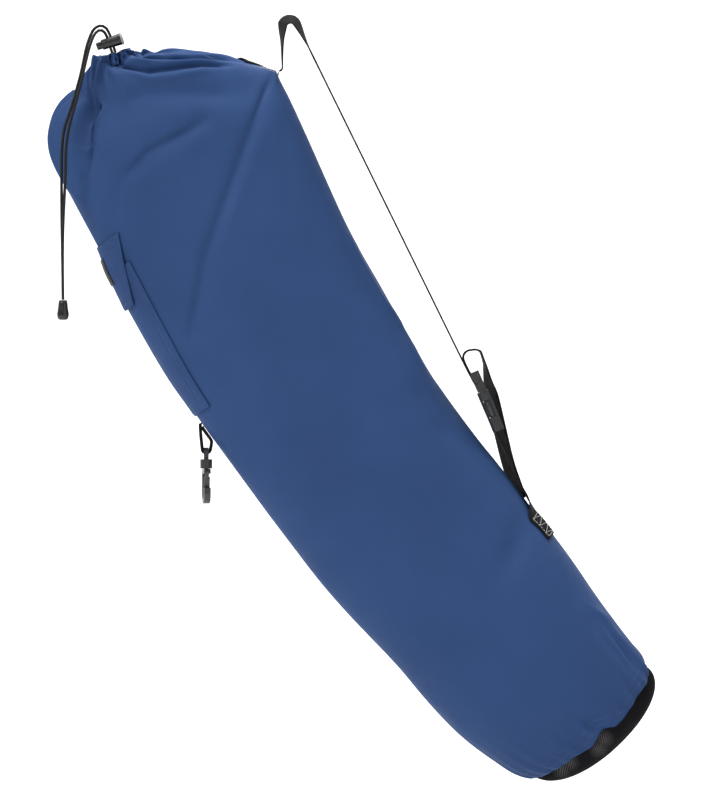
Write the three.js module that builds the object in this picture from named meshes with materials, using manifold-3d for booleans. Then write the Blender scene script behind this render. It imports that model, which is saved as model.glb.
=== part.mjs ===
import * as THREE from 'three';
import { mergeVertices } from 'three/addons/utils/BufferGeometryUtils.js';
import Module from 'manifold-3d';

// A drawstring bag for a rolled exercise mat, hanging from its shoulder strap.
// Millimetres, +Z up, -Y towards the side that is looked at, +X towards the bag's foot.
// The origin is the underside of the strap at its highest point, where a peg or a shoulder carries it.

// Cloth and its clearances
const clothWall = 1.2;
const seamGap = 0.3;
const layGap = 0.9;
const webLift = 0.5;

// Body tube, in its own frame: x across, y from front to back, z from the foot to the mouth
const bagTilt = 34.6;
const footAcross = 290.7;
const footDown = 668.7;
const bodyWidth = 200;
const bodyDepth = 112;
const shoulderHeight = 684;
const seamHeight = 21;
const seamTilt = 11;
const seamReach = 0.24;

// Gathered mouth
const neckAcross = -17;
const neckHeight = 771;
const neckTilt = 24.6;
const neckWidth = 29;
const neckDepth = 40;
const casingHeight = 11;
const casingLift = 0.84;
const casingWall = 2.4;
const pleatCount = 10;
const pleatDepth = 2.6;

// Folds of the body cloth
const foldDepth = 10;
const foldReach = 20;

// Net at the foot
const netDepth = 35.5;
const netFullness = 2.15;
const netSkew = 9;
const netRows = 4;

// Side pocket and its flap
const pocketNear = 212;
const pocketFar = 117;
const pocketFoot = 462;
const pocketLength = 153;
const pocketPuff = 1.6;
const flapTop = 643;
const flapLength = 64;
const flapOver = 3;
const flapLift = 2.8;
const patchTop = 631;
const patchLength = 26;
const patchNear = 186;
const patchFar = 140;
const patchWall = 1.6;
const patchLift = 0.75;

// Webbing strap
const webWidth = 25;
const webWall = 1.5;
const upperPatch = 32;
const lowerPatch = 26;
const lowerAnchorHeight = 197;
const pegRadius = 6.5;
const peakTwist = 22;
const strapBend = 2.2;
const routeBend = 4;
const webGap = 0.35;
const webStep = 0.5;
const webReach = 24;
const webTurn = 20;
const archHeight = 22;
const archWidth = 18;
const tailLength = 107;
const tailBehind = 30;
const tailTwist = -27;
const foldBack = 25;

// Side-release buckle. Its place is where its two halves meet, as a share of the strap's straight line.
const buckleShare = 0.762;
const buckleAside = 5.3;
const buckleLean = 3.5;
const buckleWidth = 33;
const plugThick = 8.4;
const plugLength = 19.8;
const flangeThick = 3;
const socketThick = 11;
const socketLength = 39.5;
const socketWall = 1.8;
const socketFloor = 28;
const barThick = 3.8;
const windowFrom = 9;
const windowLength = 17;
const windowWidth = 6.6;
const prongLength = 24;
const prongThick = 3.8;
const prongDeep = 5;
const fit = 0.35;

// Cord, its lock and its end
const cordThick = 2.8;
const lockLength = 20;
const lockThick = 11.2;
const lockEndThick = 9.8;
const lockTurn = 18;
const lockRise = 11.5;
const lockHoleAside = 2;
const plungerThick = 7.2;
const plungerOut = 5.2;
const plungerTravel = 3;
const lockFloor = 1.8;
const endLength = 18.5;
const endThick = 11.2;
const endNeck = 8.2;

// Key hook on its loop
const loopHeight = 452;
const loopAngle = 178;
const loopWidth = 10;
const loopWall = 1.6;
const loopDrop = 22;
const loopAside = 4.7;
const loopBulge = 5.2;
const eyeWire = 3;
const eyeThick = 4.4;
const eyeRoom = 0.8;
const eyeHeight = 11;
const collarThick = 11.4;
const collarHeight = 8.4;
const shankThick = 4;
const shankHead = 6.4;
const shankHeadHeight = 2.2;
const pivotInset = 2.6;
const pivotDrop = 0.8;
const arcSteps = 8;
const hookDrop = 32.5;
const hookDeep = 19;
const hookThick = 4.4;
const hookWidth = 6.2;
const hookTop = 4.6;
const noseHeight = 15;
const gateThick = 2.2;
const gateWidth = 5.4;
const gateEyeWidth = 3.2;
const gatePin = 1;
const gateOver = 3;
const hookTurn = 8;
const roofWall = 1.8;

const degrees = THREE.MathUtils.degToRad;
const lerp = THREE.MathUtils.lerp;
const smooth = (t) => THREE.MathUtils.smoothstep(t, 0, 1);
const vector = (x, y, z) => new THREE.Vector3(x, y, z);

const cloth = new THREE.MeshStandardMaterial({ color: 0x2f4a7c, roughness: 0.85, metalness: 0 });
const net = new THREE.MeshStandardMaterial({ color: 0x17181a, roughness: 0.9, metalness: 0 });
const webbing = new THREE.MeshStandardMaterial({ color: 0x1d1d1c, roughness: 0.8, metalness: 0 });
const cord = new THREE.MeshStandardMaterial({ color: 0x191919, roughness: 0.75, metalness: 0 });
const plastic = new THREE.MeshStandardMaterial({ color: 0x2a2b2d, roughness: 0.4, metalness: 0 });
const rubber = new THREE.MeshStandardMaterial({ color: 0x202321, roughness: 0.65, metalness: 0 });

const wasm = await Module();
wasm.setup();

// Tables

// at runs from the foot seam, 0, to the shoulder, 1. shift and width are shares of bodyWidth, and depth of
// bodyDepth.
const sections = [
  { at: 0.0, shift: -0.002, width: 0.715, depth: 1.12 },
  { at: 0.015, shift: -0.022, width: 0.78, depth: 1.16 },
  { at: 0.035, shift: -0.044, width: 0.815, depth: 1.19 },
  { at: 0.11, shift: -0.094, width: 0.898, depth: 1.17 },
  { at: 0.22, shift: -0.122, width: 0.955, depth: 1.1 },
  { at: 0.35, shift: -0.165, width: 0.99, depth: 1.03 },
  { at: 0.46, shift: -0.184, width: 0.993, depth: 0.99 },
  { at: 0.56, shift: -0.191, width: 1.003, depth: 0.96 },
  { at: 0.66, shift: -0.178, width: 1.045, depth: 0.92 },
  { at: 0.75, shift: -0.159, width: 1.058, depth: 0.88 },
  { at: 0.89, shift: -0.095, width: 1.09, depth: 0.8 },
  { at: 1.0, shift: -0.043, width: 1.115, depth: 0.76 },
];

// Round the body from the strap's side over the back. turn is where the shoulder starts, as a share of
// shoulderHeight. full is the exponent of its curve to the neck: 1 is straight, 2 is round, 3 is square.
const shoulders = [
  { angle: 0, turn: 1.0, full: 1.16 },
  { angle: 35, turn: 0.98, full: 2.0 },
  { angle: 90, turn: 0.965, full: 2.8 },
  { angle: 135, turn: 1.0, full: 2.8 },
  { angle: 165, turn: 1.04, full: 2.9 },
  { angle: 195, turn: 0.99, full: 1.7 },
  { angle: 225, turn: 0.965, full: 1.9 },
  { angle: 275, turn: 0.95, full: 2.6 },
  { angle: 325, turn: 0.975, full: 1.8 },
];

// Folds seen from the front or the back. across is a share of bodyWidth and up a share of shoulderHeight.
// depth and reach are shares of foldDepth and foldReach, and a depth below 0 stands out as a ridge.
const folds = [
  {
    name: 'pull from the strap', side: -1, depth: 0.42, reach: 0.42,
    line: [[0.47, 0.985], [0.23, 0.945], [-0.08, 0.88], [-0.24, 0.842], [-0.49, 0.77]],
  },
  {
    name: 'ridge beside the pull', side: -1, depth: -0.25, reach: 1.1,
    line: [[0.5, 0.96], [0.34, 0.89], [0.11, 0.79]],
  },
  {
    name: 'hollow beside the mouth', side: -1, depth: 1.5, reach: 0.75,
    line: [[-0.31, 1.13], [-0.28, 1.1], [-0.42, 1.07]],
  },
  {
    name: 'crease of the shoulder', side: -1, depth: 0.4, reach: 0.4,
    line: [[0.1, 0.998], [-0.15, 1.001], [-0.34, 0.998], [-0.44, 0.978], [-0.5, 0.955]],
  },
  {
    name: 'dip under the mouth', side: -1, depth: 0.5, reach: 0.75,
    line: [[-0.16, 1.07], [0.02, 1.06], [0.25, 1.02], [0.36, 1.0]],
  },
  {
    name: 'dent above the buckle tail', side: -1, depth: 0.55, reach: 0.9,
    line: [[0.22, 0.52], [0.26, 0.44]],
  },
  {
    name: 'pull from the lower anchor', side: -1, depth: 0.4, reach: 0.6,
    line: [[0.31, 0.315], [0.16, 0.285], [0.06, 0.27]],
  },
  {
    name: 'outer pleat at the foot', side: -1, depth: 0.35, reach: 0.28,
    line: [[0.27, 0.14], [0.29, 0.09], [0.305, 0.035]],
  },
  {
    name: 'gather at the foot seam', side: -1, depth: 0.5, reach: 0.45,
    line: [[-0.09, 0.06], [-0.02, 0.012]],
  },
  {
    name: 'gather at the foot corner', side: -1, depth: 0.4, reach: 0.4,
    line: [[-0.28, 0.055], [-0.27, 0.01]],
  },
  {
    name: 'pull across the back', side: 1, depth: 0.4, reach: 0.6,
    line: [[0.42, 0.97], [0.1, 0.86], [-0.3, 0.8]],
  },
  {
    name: 'slack at the back', side: 1, depth: 0.4, reach: 1.1,
    line: [[0.2, 0.56], [-0.2, 0.47], [-0.5, 0.44]],
  },
  {
    name: 'gather at the back seam', side: 1, depth: 0.45, reach: 0.5,
    line: [[0.05, 0.1], [0.02, 0.02]],
  },
];

// Grooves seen from above the shoulder. across is a share of bodyWidth and back a share of bodyDepth.
// depth and reach are shares of foldDepth and foldReach.
const grooves = [
  {
    name: 'pocket of cloth by the mouth', depth: 1.7, reach: 0.45,
    line: [[-0.3, -0.08], [-0.44, -0.12], [-0.62, -0.1]],
  },
  { name: 'groove behind the mouth', depth: 0.7, reach: 0.5, line: [[-0.08, 0.2], [0.02, 0.32]] },
  { name: 'groove to the strap', depth: 0.6, reach: 0.3, line: [[0.06, -0.1], [0.3, -0.12]] },
];

// A table's column at a place, on a smooth curve through its rows
function columnAt(rows, key, column, place) {
  let n = rows.findIndex((row) => row[key] > place) - 1;
  if (n < 0) n = place < rows[0][key] ? 0 : rows.length - 2;
  const [before, low, high, after] = [n - 1, n, n + 1, n + 2].map(
    (k) => rows[THREE.MathUtils.clamp(k, 0, rows.length - 1)],
  );
  const span = high[key] - low[key];
  const slope = (a, b) => (b[column] - a[column]) / (b[key] - a[key] || 1);
  const t = (place - low[key]) / span;
  const startSlope = slope(before, high) * span;
  const endSlope = slope(low, after) * span;
  return (2 * t ** 3 - 3 * t ** 2 + 1) * low[column] + (t ** 3 - 2 * t ** 2 + t) * startSlope
    + (3 * t ** 2 - 2 * t ** 3) * high[column] + (t ** 3 - t ** 2) * endSlope;
}

// A table's column at a place, level at each row and eased between them
function easedAt(rows, key, column, place) {
  const n = THREE.MathUtils.clamp(rows.findIndex((row) => row[key] >= place), 1, rows.length - 1);
  const [low, high] = [rows[n - 1], rows[n]];
  return lerp(low[column], high[column], smooth((place - low[key]) / (high[key] - low[key])));
}

// The shoulder's table carried on round a full turn each way, in degrees
const shoulderRound = [-360, 0, 360].flatMap(
  (turn) => shoulders.map((row) => ({ ...row, angle: row.angle + turn })),
);

// How near a point is to a chain of straight stretches
function lineDistance(points, x, y) {
  let nearest = Infinity;
  points.slice(1).forEach(([endX, endY], k) => {
    const [startX, startY] = points[k];
    const [dx, dy] = [endX - startX, endY - startY];
    const t = THREE.MathUtils.clamp(((x - startX) * dx + (y - startY) * dy) / (dx * dx + dy * dy), 0, 1);
    nearest = Math.min(nearest, Math.hypot(x - startX - t * dx, y - startY - t * dy));
  });
  return nearest;
}

// The neck ring where the shoulder's cloth is gathered, raised by up along the neck's own axis
function neckPoint(angle, up, grown) {
  const pleat = pleatDepth * Math.cos(pleatCount * (angle + Math.PI / 2));
  const wide = (neckWidth / 2 + pleat + grown) * Math.cos(angle);
  const deep = (neckDepth / 2 + pleat + grown) * Math.sin(angle);
  const lean = degrees(neckTilt);
  return vector(
    neckAcross + wide * Math.cos(lean) + up * Math.sin(lean),
    deep,
    neckHeight - wide * Math.sin(lean) + up * Math.cos(lean),
  );
}

// The body without its folds. along runs from the foot seam, 0, over the shoulder, 1, to the neck, 2.
function bodyBase(angle, along) {
  const up = Math.min(along, 1);
  const turned = THREE.MathUtils.euclideanModulo(THREE.MathUtils.radToDeg(angle), 360);
  const half = bodyWidth * columnAt(sections, 'at', 'width', up) / 2;
  const deep = bodyDepth * columnAt(sections, 'at', 'depth', up) / 2;
  const turn = shoulderHeight * columnAt(shoulderRound, 'angle', 'turn', turned);
  const side = vector(
    bodyWidth * columnAt(sections, 'at', 'shift', up) + half * Math.cos(angle),
    deep * Math.sin(angle),
    lerp(seamHeight, turn, up),
  );
  side.z += Math.tan(degrees(seamTilt)) * half * Math.cos(angle) * (1 - smooth(up / seamReach));
  if (along <= 1) return side;
  const quarter = (along - 1) * Math.PI / 2;
  const power = 2 / columnAt(shoulderRound, 'angle', 'full', turned);
  const out = Math.max(Math.cos(quarter), 0) ** power;
  const rise = Math.sin(quarter) ** power;
  const neck = neckPoint(angle, 0, 0);
  return vector(lerp(neck.x, side.x, out), lerp(neck.y, side.y, out), lerp(side.z, neck.z, rise));
}

// The direction out of the body, from the plain shape without pleats or folds
function bodyOut(angle, along) {
  const step = 0.02;
  const [low, high] = [Math.max(along - step, 0), Math.min(along + step, 2 - step / 2)];
  const upwards = bodyBase(angle, high).sub(bodyBase(angle, Math.min(low, 2 - 3 * step)));
  const level = Math.min(along, 1.7);
  const round = bodyBase(angle + 3 * step, level).sub(bodyBase(angle - 3 * step, level));
  return round.cross(upwards).normalize();
}

// How far the folds move a point of the body along its outward direction
function foldOffset(point) {
  let offset = 0;
  for (const fold of folds) {
    const line = fold.line.map(([across, up]) => [across * bodyWidth, up * shoulderHeight]);
    const reach = fold.reach * foldReach;
    const near = Math.exp(-((lineDistance(line, point.x, point.z) / reach) ** 2));
    const facing = smooth(0.5 + 4 * fold.side * point.y / bodyDepth);
    offset -= fold.depth * foldDepth * near * facing;
  }
  return offset;
}

// How far the grooves sink a point of the shoulder
function grooveDepth(point, along) {
  let sunk = 0;
  for (const groove of grooves) {
    const line = groove.line.map(([across, back]) => [across * bodyWidth, back * bodyDepth]);
    const reach = groove.reach * foldReach;
    sunk += groove.depth * foldDepth * Math.exp(-((lineDistance(line, point.x, point.y) / reach) ** 2));
  }
  return sunk * smooth((along - 1.05) / 0.3) * smooth((1.98 - along) / 0.2);
}

// The body's surface, raised by out from the cloth's outer face
function bodySurface(angle, along, out) {
  const base = bodyBase(angle, along);
  const away = bodyOut(angle, along);
  const sunk = grooveDepth(base, along);
  const settle = smooth(along / 0.03) * smooth((2 - along) / 0.15);
  return base.addScaledVector(away, foldOffset(base) * settle + out).add(vector(0, 0, -sunk));
}

// The place along the body at a height on one side
function alongAt(angle, height) {
  let [low, high] = [0, 2];
  for (let k = 0; k < 30; k += 1) {
    const middle = (low + high) / 2;
    if (bodyBase(angle, middle).z < height) low = middle;
    else high = middle;
  }
  return low;
}

// Solids

// A closed solid from its points and triangles, with its faces turned outwards
function closedGeometry(points, triangles) {
  const flat = points.flatMap((p) => [p.x, p.y, p.z]);
  const used = triangles.filter(([a, b, c]) => (
    points[a].distanceTo(points[b]) > 1e-4
    && points[b].distanceTo(points[c]) > 1e-4
    && points[c].distanceTo(points[a]) > 1e-4
  ));
  const volume = used.reduce((sum, [a, b, c]) => sum + points[a].dot(points[b].clone().cross(points[c])), 0);
  const index = used.flatMap(([a, b, c]) => (volume < 0 ? [a, c, b] : [a, b, c]));
  const geometry = new THREE.BufferGeometry();
  geometry.setAttribute('position', new THREE.Float32BufferAttribute(flat, 3));
  geometry.setIndex(index);
  return geometry;
}

// A sheet with two faces. face(row, column, 1) is its outer point and face(row, column, 0) its inner one.
// round closes the columns into a tube, and pole closes the last row to a point.
function sheetGeometry(rows, columns, face, { round = false, pole = false } = {}) {
  const points = [];
  const triangles = [];
  const across = round ? columns : columns + 1;
  const at = (layer, row, column) => (layer * (rows + 1) + row) * across + (column % across);
  for (const layer of [0, 1]) {
    for (let row = 0; row <= rows; row += 1) {
      for (let column = 0; column < across; column += 1) points.push(face(row, column, 1 - layer));
    }
  }
  const quad = (a, b, c, d) => triangles.push([a, b, c], [a, c, d]);
  for (let column = 0; column < columns; column += 1) {
    for (let row = 0; row < rows; row += 1) {
      quad(at(0, row, column), at(0, row, column + 1), at(0, row + 1, column + 1), at(0, row + 1, column));
      quad(at(1, row, column), at(1, row + 1, column), at(1, row + 1, column + 1), at(1, row, column + 1));
    }
    quad(at(0, 0, column), at(1, 0, column), at(1, 0, column + 1), at(0, 0, column + 1));
    if (!pole) {
      quad(at(0, rows, column), at(0, rows, column + 1), at(1, rows, column + 1), at(1, rows, column));
    }
  }
  if (!round) {
    for (let row = 0; row < rows; row += 1) {
      quad(at(0, row, 0), at(0, row + 1, 0), at(1, row + 1, 0), at(1, row, 0));
      quad(at(0, row, columns), at(1, row, columns), at(1, row + 1, columns), at(0, row + 1, columns));
    }
  }
  return closedGeometry(points, triangles);
}

// Booleans
function solidOf(geometry) {
  const bare = new THREE.BufferGeometry();
  bare.setAttribute('position', geometry.getAttribute('position'));
  bare.setIndex(geometry.index);
  const merged = mergeVertices(bare, 1e-4);
  return new wasm.Manifold(new wasm.Mesh({
    numProp: 3,
    vertProperties: new Float32Array(merged.attributes.position.array),
    triVerts: new Uint32Array(merged.index.array),
  }));
}

function geometryOf(solid) {
  const mesh = solid.getMesh();
  const geometry = new THREE.BufferGeometry();
  geometry.setAttribute('position', new THREE.BufferAttribute(mesh.vertProperties, 3));
  geometry.setIndex(new THREE.BufferAttribute(mesh.triVerts, 1));
  return geometry;
}

const joined = (solids) => solids.reduce((sum, solid) => sum.add(solid));
const cutBy = (solid, tools) => tools.reduce((left, tool) => left.subtract(tool), solid);

const block = (x, y, z, at) => solidOf(new THREE.BoxGeometry(x, y, z).translate(...at));

// A round bar along x, y or z
function bar(axis, radius, length, at, sides = 12, farRadius = radius) {
  const geometry = new THREE.CylinderGeometry(farRadius, radius, length, sides);
  if (axis === 'x') geometry.rotateZ(-Math.PI / 2);
  if (axis === 'z') geometry.rotateX(Math.PI / 2);
  return solidOf(geometry.translate(...at));
}

// An outline in y and z, given a thickness along x
function plateX(outline, thickness, at = 0) {
  const shape = new THREE.Shape(outline.map(([y, z]) => new THREE.Vector2(y, z)));
  const geometry = new THREE.ExtrudeGeometry(shape, { depth: thickness, bevelEnabled: false });
  geometry.applyMatrix4(new THREE.Matrix4().makeBasis(vector(0, 1, 0), vector(0, 0, 1), vector(1, 0, 0)));
  return solidOf(mergedFlat(geometry.translate(at - thickness / 2, 0, 0)));
}

// An outline in x and y, given a height along z
function plateZ(outline, height, from) {
  const shape = new THREE.Shape(outline.map(([x, y]) => new THREE.Vector2(x, y)));
  const geometry = new THREE.ExtrudeGeometry(shape, { depth: height, bevelEnabled: false });
  return solidOf(mergedFlat(geometry.translate(0, 0, from)));
}

// A non-indexed geometry with its shared vertices merged
function mergedFlat(geometry) {
  const bare = new THREE.BufferGeometry();
  bare.setAttribute('position', geometry.getAttribute('position'));
  return mergeVertices(bare, 1e-4);
}

const meshOf = (name, geometry, material) => {
  const mesh = new THREE.Mesh(geometry, material);
  mesh.name = name;
  return mesh;
};

// Bag

const bag = new THREE.Group();
bag.rotation.y = -degrees(bagTilt);
bag.position.set(footAcross, 0, -footDown);
bag.updateMatrixWorld(true);
const toWorld = (point) => point.applyMatrix4(bag.matrixWorld);

const bodyColumns = 4 * pleatCount;
const bandNames = ['body_foot', 'body_lower', 'body_middle', 'body_upper'];
const bandRows = 5;
const bodyRows = bandNames.length * bandRows;
const shoulderRows = 8;

// Rows crowd together at the foot, where the body draws in
const bodyAlong = (row) => (row <= bodyRows
  ? (row / bodyRows) ** 1.15
  : 1 + (row - bodyRows) / shoulderRows);

const columnAngle = (column) => 2 * Math.PI * column / bodyColumns;

// One band of the body, from one row up to just short of the row where the next band begins
function bodyBand(from, rows) {
  const face = (row, column, outer) => bodySurface(
    columnAngle(column),
    bodyAlong(from + row) - (row === rows && from < bodyRows ? seamGap / shoulderHeight : 0),
    outer ? 0 : -clothWall,
  );
  return sheetGeometry(rows, bodyColumns, face, { round: true });
}

// The net closes the foot as a dome on the body's seam ring
function netShell() {
  const lean = degrees(seamTilt);
  const down = vector(Math.sin(lean), 0, -Math.cos(lean));
  const aside = vector(Math.cos(lean), 0, Math.sin(lean));
  const face = (row, column, outer) => {
    const angle = columnAngle(column);
    const quarter = row / netRows * Math.PI / 2;
    const inset = outer ? 0 : clothWall;
    const rim = bodySurface(angle, 0, -inset);
    const centre = bodySurface(0, 0, 0).add(bodySurface(Math.PI, 0, 0)).multiplyScalar(0.5);
    const out = Math.max(Math.cos(quarter), 0) ** (2 / netFullness);
    const fall = Math.sin(quarter) ** (2 / netFullness);
    return centre.clone().lerp(rim, row === netRows ? 0 : out)
      .addScaledVector(aside, netSkew * fall)
      .addScaledVector(down, seamGap + (netDepth - inset - seamGap) * fall);
  };
  return sheetGeometry(netRows, bodyColumns, face, { round: true, pole: true });
}

// The gathered hem that the cord runs in
function neckCasing() {
  const heights = [0, 0.3, 0.75, 1];
  const swell = [0, 1.2, 1.2, 0.2];
  const face = (row, column, outer) => neckPoint(
    columnAngle(column),
    casingLift + casingHeight * heights[row],
    outer ? swell[row] : -casingWall,
  );
  return sheetGeometry(heights.length - 1, bodyColumns, face, { round: true });
}

// Cloth laid on the body between two angles and two heights, with its own height off the cloth at each place
function laidSheet(rows, columns, near, far, foot, top, wall, lift) {
  const face = (row, column, outer) => {
    const [u, v] = [column / columns, row / rows];
    const angle = degrees(lerp(near, far, u));
    const along = alongAt(angle, lerp(foot, top, v));
    return bodySurface(angle, along, layGap + lift(u, v) + (outer ? wall : 0));
  };
  return sheetGeometry(rows, columns, face);
}

const pocketRise = (u, v) => pocketPuff * Math.sin(Math.PI * u) * smooth(v / 0.3);
const flapClear = clothWall + seamGap;

function pocketPanel() {
  const pocketTop = pocketFoot + pocketLength;
  return laidSheet(7, 12, pocketNear, pocketFar, pocketFoot, pocketTop, clothWall, pocketRise);
}

// How far the flap stands off: flat at its stitched top, over the pocket's mouth, lifting to its free edge
function flapRise(u, v) {
  const mouth = (flapTop - pocketFoot - pocketLength) / flapLength;
  const over = smooth((1 - v) / mouth);
  return over * (flapClear + pocketPuff * Math.sin(Math.PI * u)) + flapLift * (1 - v) ** 2 * lerp(1, 0.35, u);
}

const flapNear = pocketNear + flapOver;
const flapFar = pocketFar - flapOver;

function pocketFlap() {
  return laidSheet(5, 10, flapNear, flapFar, flapTop - flapLength, flapTop, clothWall, flapRise);
}

function flapPatch() {
  const rise = (u, v) => {
    const angle = lerp(patchNear, patchFar, u);
    const height = lerp(patchTop - patchLength, patchTop, v);
    const flapU = (flapNear - angle) / (flapNear - flapFar);
    const flapV = (height - flapTop + flapLength) / flapLength;
    return flapRise(flapU, flapV) + clothWall + patchLift;
  };
  return laidSheet(3, 5, patchNear, patchFar, patchTop - patchLength, patchTop, patchWall, rise);
}

// Strap

// A strip of webbing through stations along its middle, each a row of points across it and their outward ways
function stripGeometry(stations, wall) {
  const face = (row, column, outer) => {
    const { points, out } = stations[row];
    return points[column].clone().addScaledVector(out[column], (outer ? 0.5 : -0.5) * wall);
  };
  return sheetGeometry(stations.length - 1, stations[0].points.length - 1, face);
}

const webColumns = 4;
const webShares = Array.from({ length: webColumns + 1 }, (_, k) => k / webColumns - 0.5);

// Stations of webbing sewn flat on the strap's side of the body, between two places along it
function sewnStations(from, to, count, away) {
  return Array.from({ length: count }, (_, k) => {
    const along = lerp(from, to, k / (count - 1));
    const deep = bodySurface(Math.PI / 2, Math.min(along, 1), 0).y;
    const spots = webShares.map((share) => Math.asin(share * webWidth / deep));
    const points = spots.map((angle) => toWorld(bodySurface(angle, along, away)));
    const out = spots.map((angle) => toWorld(bodySurface(angle, along, away + 1)));
    return { points, out: out.map((point, n) => point.sub(points[n]).normalize()) };
  });
}

// A route of straight stretches with round corners. Each row is { x, y, z, radius }, and y is 0 by default.
function roundedRoute(rows) {
  const points = rows.map(({ x, y = 0, z }) => vector(x, y, z));
  const path = new THREE.CurvePath();
  let from = points[0];
  rows.slice(1, -1).forEach(({ radius = routeBend }, k) => {
    const [before, corner, after] = [from, points[k + 1], points[k + 2]];
    const [back, ahead] = [before.clone().sub(corner), after.clone().sub(corner)];
    const turn = Math.PI - back.angleTo(ahead);
    const room = Math.min(radius * Math.tan(turn / 2), 0.98 * back.length(), 0.6 * ahead.length());
    const start = corner.clone().addScaledVector(back.normalize(), room);
    const end = corner.clone().addScaledVector(ahead.normalize(), room);
    const pull = 4 / 3 * Math.tan(turn / 4) / Math.tan(turn / 2);
    path.add(new THREE.LineCurve3(from, start));
    const [pullStart, pullEnd] = [start.clone().lerp(corner, pull), end.clone().lerp(corner, pull)];
    path.add(new THREE.CubicBezierCurve3(start, pullStart, pullEnd, end));
    from = end;
  });
  path.add(new THREE.LineCurve3(from, points.at(-1)));
  return path;
}

// Stations of free webbing along a route, more of them where it bends. twists has rows of { at, turn }, and
// at is a share of the route's length.
function freeStations(route, twists, width) {
  const fine = Math.ceil(route.getLength() / webStep);
  const places = [0];
  let [turned, gone] = [0, 0];
  for (let k = 1; k <= fine; k += 1) {
    turned += route.getTangent((k - 1) / fine).angleTo(route.getTangent(k / fine));
    gone += webStep;
    if (turned > degrees(webTurn) || gone > webReach || k === fine) {
      places.push(k / fine);
      [turned, gone] = [0, 0];
    }
  }
  return places.map((t) => {
    const tangent = route.getTangent(t);
    const flat = vector(0, 1, 0).addScaledVector(tangent, -tangent.y).normalize();
    const across = flat.applyAxisAngle(tangent, degrees(easedAt(twists, 'at', 'turn', t)));
    const out = tangent.clone().cross(across).normalize();
    const centre = route.getPoint(t);
    return {
      points: webShares.map((share) => centre.clone().addScaledVector(across, share * width)),
      out: webShares.map(() => out),
    };
  });
}

// Where the webbing leaves the body: the corner of the shoulder, and the lower patch's upper end
const webOut = layGap + webWall / 2;
const upperOut = webOut + webLift;
const upperEnd = alongAt(0, shoulderHeight + upperPatch * Math.SQRT1_2);
const lowerFoot = alongAt(0, lowerAnchorHeight - lowerPatch / 2);
const lowerEnd = alongAt(0, lowerAnchorHeight + lowerPatch / 2);
const anchorPoint = toWorld(bodySurface(0, lowerEnd, webOut));

// The buckle stands beside the straight line from the strap's top to the lower anchor
const strapLine = anchorPoint.clone().normalize();
const strapAside = vector(-strapLine.z, 0, strapLine.x);
const strapFall = Math.atan2(strapLine.x, -strapLine.z);
const buckle = new THREE.Group();
buckle.position.copy(anchorPoint).multiplyScalar(buckleShare).addScaledVector(strapAside, buckleAside);
buckle.rotation.y = -(strapFall - degrees(buckleLean));
buckle.updateMatrixWorld(true);
const buckleWorld = ({ x, y = 0, z, radius }) => {
  const place = vector(x, y, z).applyMatrix4(buckle.matrixWorld);
  return { x: place.x, y: place.y, z: place.z, radius };
};

// The webbing turns round the plug's inner bar and passes its outer one
const turnRadius = barThick / 2 + webGap + webWall / 2;
const innerBar = flangeThick + seamGap + 2 * webGap + webWall + barThick / 2;
const outerBar = plugLength - barThick / 2;
const barSpan = outerBar - innerBar;
const crossing = Math.asin(2 * turnRadius / barSpan);
const crossRise = turnRadius * Math.tan(crossing / 2);
const lowerBar = -socketLength + barThick / 2;

// Where the two straight stretches of the strap meet above its peg
function overPeg(left, right) {
  const middle = vector(0, 0, -pegRadius);
  const radius = pegRadius + webWall / 2;
  const tangent = (from, side) => {
    const away = middle.clone().sub(from);
    const turn = Math.asin(radius / away.length()) * side;
    return away.applyAxisAngle(vector(0, 1, 0), turn);
  };
  const [a, b] = [tangent(left, -1), tangent(right, 1)];
  const t = ((right.x - left.x) * b.z - (right.z - left.z) * b.x) / (a.x * b.z - a.z * b.x);
  return { ...left.clone().addScaledVector(a, t), radius };
}

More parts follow.
